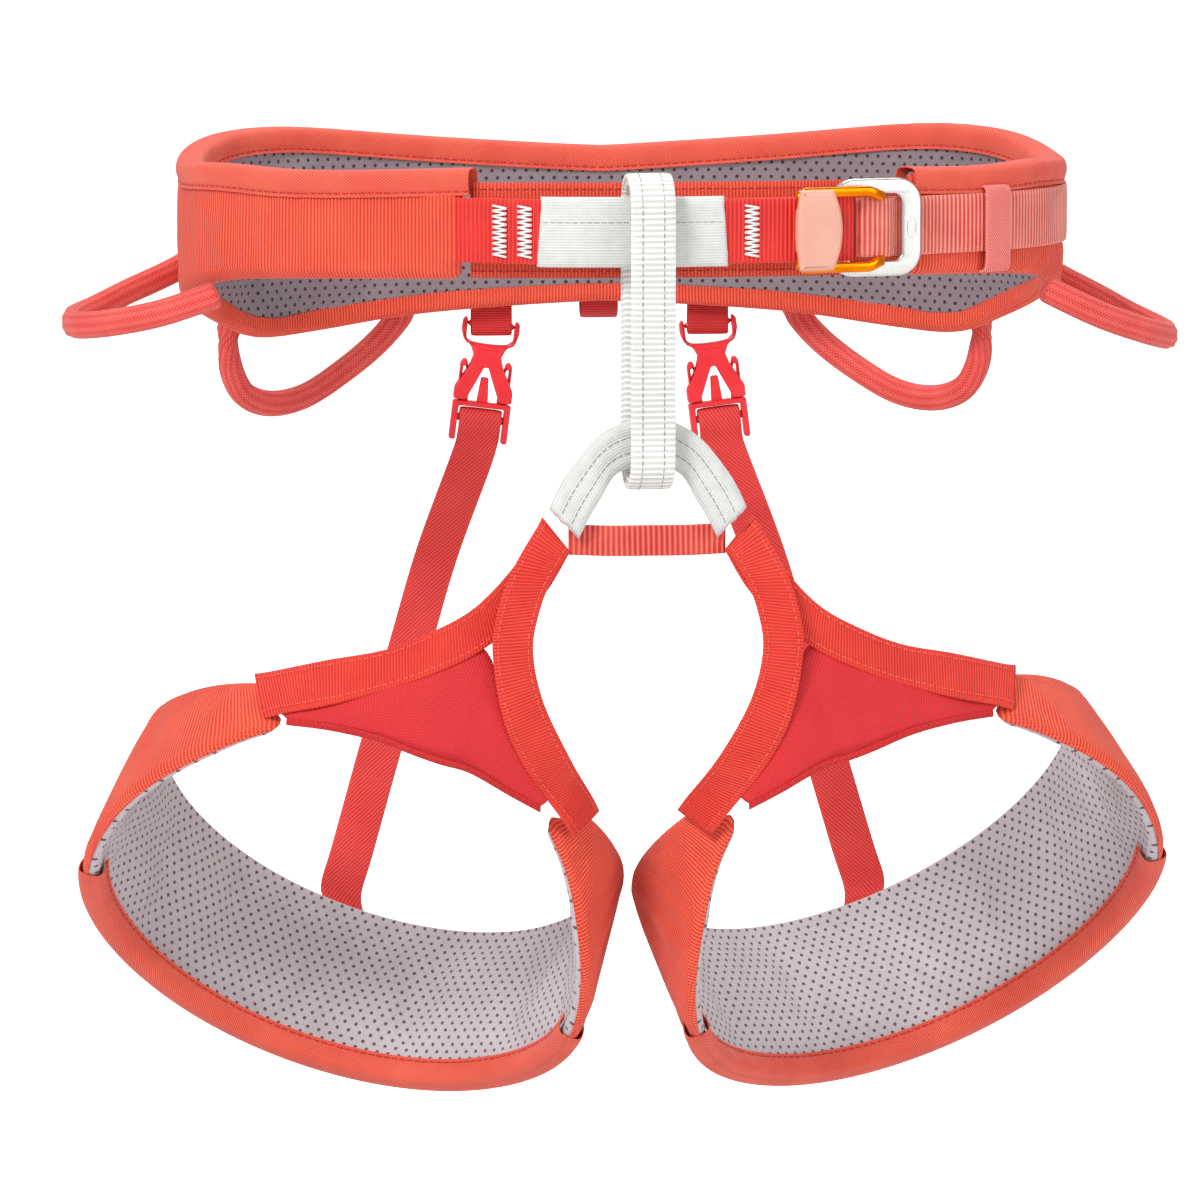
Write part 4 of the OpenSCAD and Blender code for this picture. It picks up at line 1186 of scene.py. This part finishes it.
anchors = bmesh.new()
anchor_threads = bmesh.new()
for mirrored in (1, -1):
    for a, z in ((155, -13), (114, -34.5)):
        rows = []
        for b in range(-4, 5, 2):
            p = belt_pt(a + b, 0.95, z)
            q = belt_pt(a + b, 0.95, z + 9)
            rows.append(Vector((p.x * mirrored, p.y, p.z, q.x * mirrored, q.y, q.z)))
        if mirrored < 0:
            rows.reverse()
        rows = strap_rows(rows, steps=3, step=1.2)
        part = band(rows, 1.1)
        mesh = bpy.data.meshes.new("part")
        part.to_mesh(mesh)
        part.free()
        anchors.from_mesh(mesh)
        bpy.data.meshes.remove(mesh)
        for share in (0.16, 0.84):
            sew(anchor_threads, *strap_line(rows, share, 0.6), pitch=2.2, length=1.7, thickness=0.45)
piece("sewn_tabs", anchors, WEBBING, "harness")
piece("sewn_tab_stitches", anchor_threads, RED_THREAD, "harness")
ears = bmesh.new()
for x in (-8.9, 8.9):
    where = Matrix.Translation(Vector((x, 95, -26)) * MM) @ Matrix.Rotation(math.pi / 2, 4, "Y")
    plate(ears, rounded([(-2.6, -3.1), (2.6, -3.1), (2.6, 2.4), (-2.6, 2.4)], 1.2), [], 3.0, 0.6, where)
hard("haul_loop_ears", ears, CORE, "harness", nodes=("sewn_anchors",))
pin_line = [Vector((x, 95.4, -26)) for x in range(-8, 9)]
piece("haul_loop_cord", swept(pin_line, 2.0, 2.0, Vector((0, 0, 1)), around=16), CORE, "harness")

# ---- the two sides ----

FRONT_GEAR = [(-149, -45, -26), (-157, -44, -29), (-172, -40, -34), (-189, -29, -38), (-200, -12, -40),
              (-200, 6, -39), (-191, 18, -36), (-180, 28, -31.5), (-168, 37, -27), (-159, 43, -23),
              (-153.5, 46.5, -19)]
REAR_GEAR = [(-141, 63, -46), (-141.5, 64, -54), (-140, 66, -65), (-135, 70, -74), (-125, 77, -78),
             (-112, 85, -76), (-98, 92, -68), (-85, 96, -58), (-76, 97, -48), (-72, 95, -40)]

LEG_R, LEG_CELLS = 2.7, 14
leg_stations = even_angles(lambda a: leg_pt(a, 0, 0), LEG_FROM, LEG_TO, 2.6)


def leg_turn(a, q):
    """Angle at a share of the height: the ends of the pad slant."""
    low = a - END_SLANT * max(0, (LEG_FROM + 38 - a) / 38)
    high = a - END_SLANT * max(0, (a - LEG_TO + 38) / 38)
    return low + (high - low) * q


def leg_shape(a, q, rise, off, along, height=False):
    low, high = leg_low(a) - LEG_R - 0.3, leg_high(a) + LEG_R + 0.2
    h = low + q * (high - low) - rise
    return -h if height else leg_pt(leg_turn(a, q), h, off)


def leg_held(a, s, q, along):
    h = -leg_shape(a, q, 0, 0, 0, True)
    taped = BOUND_FROM < a < BOUND_TO and h > leg_low(a) - 11
    under_riser = s > 0 and 52 < a < 68 and h < -14
    return 1.0 if taped or under_riser else 0.0


leg = slab(leg_stations, leg_shape, -0.6, -6.0, LEG_R, LEG_CELLS, CAP,
           lambda j: j < LEG_CELLS + CAP / 2 or j >= 2 * LEG_CELLS + 3 * CAP / 2, leg_held)
swell(leg, 3.0, 1.6)
leg_tape_stations = even_angles(lambda a: leg_pt(a, LEG_HALF, 0), BOUND_FROM, BOUND_TO, 2.4)


def leg_tape_pt(a, off, drop):
    return leg_pt(a, leg_low(a) + drop, off if off > -4 else off + 1.1)


OUTER_WEB = [(-137.5, -59.5, -162, -135, -73.5, -176.5), (-132, -62.5, -161, -129, -78, -174),
             (-112, -77, -155, -112, -86, -170), (-92, -88, -150, -92, -92, -164),
             (-74, -95, -142, -74, -98, -157),
             (-60, -99, -133, -57, -100.5, -148), (-46, -102, -117, -38, -102, -131),
             (-37.5, -102.3, -101.5, -27.5, -102.3, -114)]
INNER_WEB = [(-38.5, -105.2, -103, -28, -105.2, -113.5), (-49, -105.6, -121, -34, -105.6, -123),
             (-54, -106, -136, -38.5, -106, -134), (-55.5, -105.4, -150, -41, -105, -149),
             (-51.5, -102.5, -174, -37, -101.5, -168), (-43, -96, -193, -27, -92, -189),
             (-29, -87, -212.5, -17.5, -74, -206), (-25, -82.5, -219, -14.5, -67, -212)]
GUSSET = [(-127, -77, -173.5, -127, -77.6, -176), (-112, -84.7, -171.2, -112, -86, -177),
          (-92, -92.8, -165.2, -96, -93, -180), (-74, -98.6, -158.2, -82, -97.5, -185),
          (-60, -101, -152.5, -73, -99.5, -188), (-55, -102, -172.5, -63, -100, -191),
          (-48.5, -98.2, -189, -49, -97.5, -199.5), (-38.5, -93, -202, -37.5, -92.3, -206.5)]
RISER = [(-46.6, 93.3, -95), (-49.6, 93, -104), (-62, 91, -137), (-72, 88, -170),
         (-84, 84, -210), (-95, 79.6, -248), (-99.5, 77, -263)]
RISER_W = 16
RISER_BAR = Vector((-41, 93.6, -50.5))
RISER_LEAN = math.radians(7)
STAND = (Matrix.Translation(RISER_BAR * MM) @ Matrix.Rotation(RISER_LEAN, 4, "Y")
         @ Matrix.Rotation(math.pi / 2, 4, "X"))


def both_ways(points):
    """A mirrored outline, from points down its right half."""
    return [*points, *((-x, y) for x, y in reversed(points) if abs(x) > 0.01)]


GUSSET_MIDDLE = Vector((-78, -95, -180))


def behind_web(row):
    """A row of the mesh, carried on behind the webbing that it is sewn to."""
    a, b = edge_points(Vector(row))
    out = (a - GUSSET_MIDDLE).normalized() * 4.5
    return (*(a + out + Vector((0, 2.2, 0))), *b)


def riser_rows():
    rows = []
    for y, z in ((-35.6, -2.1), (-33.3, -1.9), (-32.4, 0.1), (-33.6, 2.1), (-37.4, 2.4), (-40.5, 1.6)):
        p = RISER_BAR + Vector((y * math.sin(RISER_LEAN), -z, y * math.cos(RISER_LEAN)))
        d = Vector((math.cos(RISER_LEAN), 0, -math.sin(RISER_LEAN))) * RISER_W / 2
        rows.append((*(p - d), *(p + d)))
    for i, p in enumerate(RISER):
        lean = RISER_LEAN if i < 1 else math.radians(16)
        d = Vector((math.cos(lean), 0, -math.sin(lean))) * RISER_W / 2
        rows.append((*(Vector(p) - d), *(Vector(p) + d)))
    for h in (-32, -26, -18):
        d = (leg_pt(66, h, 1.6) - leg_pt(54, h, 1.6)).normalized() * RISER_W / 2
        rows.append((*(leg_pt(60, h, 1.6) - d), *(leg_pt(60, h, 1.6) + d)))
    return strap_rows(rows, steps=5, step=1.5)


def stitched_edges(rows, shares, lift, pitch=2.8, length=2.1, thickness=0.5):
    bm = bmesh.new()
    for share in shares:
        sew(bm, *strap_line(rows, share, lift), pitch=pitch, length=length, thickness=thickness)
    return bm


for side in ("right", "left"):
    body = side + "_leg"

    leg_cover = cover_from(leg)
    pad = leg.copy()
    for face in pad.faces:
        face.material_index = 0
    leg_pad = piece(side + "_leg_pad", pad, LEG_LINER, body, side, (side + "_leg_foam", side + "_leg_liner"),
                    finer=1)
    leg_skin = piece(side + "_leg_cover", leg_cover, COVER, body, side, (side + "_leg_shell",),
                     thick=0.45, offset=1, finer=1)
    piece(side + "_leg_edge_tape", edge_tape(leg_tape_stations, leg_tape_pt), TAPE, body, side,
          (side + "_leg_binding",), thick=0.6, finer=1)
    piece(side + "_leg_edge_stitches", edge_seam(leg_tape_stations, leg_tape_pt), RED_THREAD, body, side)

    outer_rows = strap_rows(OUTER_WEB)
    piece(side + "_outer_leg_web", band(outer_rows, 2.0), LEG_WEB, body, side, (side + "_outer_web",))
    piece(side + "_outer_web_stitches", stitched_edges(outer_rows, (0.13, 0.87), -1.05), SALMON_THREAD, body,
          side)
    inner_rows = strap_rows(INNER_WEB)
    piece(side + "_inner_leg_web", band(inner_rows, 2.0), LEG_WEB, body, side, (side + "_inner_web",))
    piece(side + "_inner_web_stitches", stitched_edges(inner_rows, (0.13, 0.87), 1.05), SALMON_THREAD, body,
          side)

    gusset_rows = strap_rows([behind_web(row) for row in GUSSET], steps=4, step=2.0)
    gusset_bm = strap(gusset_rows, across=10, crown=-0.8)
    gusset_area = sum(f.calc_area() for f in gusset_bm.faces)
    gusset = piece(side + "_gusset", gusset_bm, NET, body, side, (side + "_gusset",), thick=0.6)
    edge_rows = []
    for row in gusset_rows:
        low = edge_points(row)[1]
        d = Vector((-0.1, 0.1, -1)).normalized()
        edge_rows.append(Vector((*(low - 0.2 * d), *(low + 2.4 * d))))
    edge_band = piece(side + "_gusset_edge", band(edge_rows, 1.4, around=16, square=3), EDGE_BAND, body,
                      side, (side + "_gusset_edge",))
    edge_thread = bmesh.new()
    zigzag(edge_thread, edge_rows, 0.1, 0.9, -0.75, 1.3, thickness=0.4)
    edge_stitches = piece(side + "_gusset_edge_stitches", edge_thread, RED_THREAD, body, side)

    for which, route, body_name in (("front", FRONT_GEAR, side + "_front_gear_loop"),
                                    ("rear", REAR_GEAR, side + "_rear_gear_loop")):
        drop = 7 if which == "front" and side == "left" else 0
        line = even(smooth([(x, y, z - drop * (-x - 149) / 51) for x, y, z in route], 6), 1.3)
        piece(f"{side}_{which}_gear_loop",
              swept(line, 9.4, 7.0, Vector((0, 0, 1)), around=40, square=2.3, ridges=10,
                                                 ridge=0.09, taper=2.0), BRAID, body_name, side,
              (f"{side}_{which}_gear_sheath",))
        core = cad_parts[f"{side}_{which}_gear_core"]
        core.data.materials.clear()
        core.data.materials.append(CORE)

    hanger_line = [Vector(p) for p in [(92.85, -24), (92.85, -36), (91.9, -43)]]
    hanger_line += arc((93.6, -51.75), 2.3, 180, 360, 12)
    hanger_line += [Vector(p) for p in [(95.2, -43), (94.5, -36), (94.4, -25)]]
    hanger_rows = [Vector((-48.7, y, z, -33.3, y, z)) for y, z in even(hanger_line, 1.2)]
    piece(side + "_hanger", band(hanger_rows, 1.3), HANGER, side + "_hanger", side, (side + "_hanger",))

    riser = riser_rows()
    elastic = piece(side + "_riser", band(riser, 1.4, square=4), ELASTIC, side + "_riser", side,
                    (side + "_riser",))
    riser_seam = bmesh.new()
    sew(riser_seam, *strap_line(riser[-11:-3], 0.15, -0.75), pitch=2.2, length=1.7, thickness=0.45)
    sew(riser_seam, *strap_line(riser[-11:-3], 0.85, -0.75), pitch=2.2, length=1.7, thickness=0.45)
    piece(side + "_riser_stitches", riser_seam, RED_THREAD, body, side)
    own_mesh(elastic)

    socket = bmesh.new()
    head = both_ways([(0, -7.4), (3.5, -7.3), (6.4, -7.0), (8.5, -6.3), (9.0, -4.6), (9.0, 1), (9.5, 2.6),
                      (10.8, 1.2), (10.9, -2.8), (9.8, -6.2), (6.6, -8.8), (5.0, -12.6)])
    plate(socket, rounded(head, 0.8, 3), [], 5.6, 1.1, STAND)
    legs = [(4.8, -9.4), (5.3, -12.5), (6.2, -15.5), (11, -24.5), (11, -29), (6.4, -29), (0.9, -16.2),
            (-0.9, -16.2), (-6.4, -29), (-11, -29), (-11, -24.5), (-6.2, -15.5), (-5.3, -12.5), (-4.8, -9.4)]
    for lift in (-2.45, 2.45):
        plate(socket, rounded(legs, 1.0, 3), [], 1.5, 0.5, STAND, lift=lift)
    for s in (-1, 1):
        plate(socket, rounded([(s * 10.0, -24.2), (s * 11, -24.8), (s * 11, -29), (s * 9.9, -29)], 0.3, 2),
              [], 4.2, 0.3, STAND)
    hard(side + "_buckle_socket", socket, BUCKLE_PLASTIC, side + "_riser", side, (side + "_buckle_socket",))
    bar = rod([RISER_BAR + Vector((math.cos(RISER_LEAN), 0, -math.sin(RISER_LEAN))) * (-9.5 + 19 * k / 12)
               for k in range(13)], 1.3)
    piece(side + "_buckle_bar", bar, BUCKLE_PLASTIC, side + "_riser", side)

    clip = bmesh.new()
    block = [(-11, -29.5), (-4, -29.4), (4, -29.4), (11, -29.5), (11, -44.4), (8.7, -44.4), (8.7, -31.4),
             (-8.7, -31.4), (-8.7, -44.4), (-11, -44.4)]
    plate(clip, rounded(block, 0.9, 3), [], 6.2, 0.9, STAND)
    plate(clip, rounded([(-9.2, -34.4), (9.2, -34.4), (9.2, -37.2), (-9.2, -37.2)], 0.3, 2), [], 2.6, 0.6,
          STAND)
    plate(clip, rounded([(-2.2, -30), (2.2, -30), (1.4, -20), (-1.4, -20)], 0.7, 3), [], 2.8, 0.5, STAND)
    hard(side + "_buckle_clip", clip, BUCKLE_PLASTIC, side + "_clip", side, (side + "_buckle_clip",))
    for name, s in (("outer", -1), ("inner", 1)):
        arm = bmesh.new()
        shape = [(s * 5.4, -29.6), (s * 9.4, -29.6), (s * 9.9, -24), (s * 9.9, -15.2), (s * 8.8, -13.4),
                 (s * 7.4, -13.8), (s * 6.2, -19), (s * 5.8, -24)]
        hole = rounded([(s * 7.0, -23.6), (s * 8.6, -23.6), (s * 8.7, -16.4), (s * 7.6, -16.4)], 0.6, 3)
        plate(arm, rounded(shape, 0.8, 3), [hole], 3.0, 0.7, STAND)
        hard(f"{side}_{name}_squeeze_arm", arm, BUCKLE_PLASTIC, f"{side}_{name}_arm", side,
             (f"{side}_{name}_squeeze_arm",))

leg.free()

low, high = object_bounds()
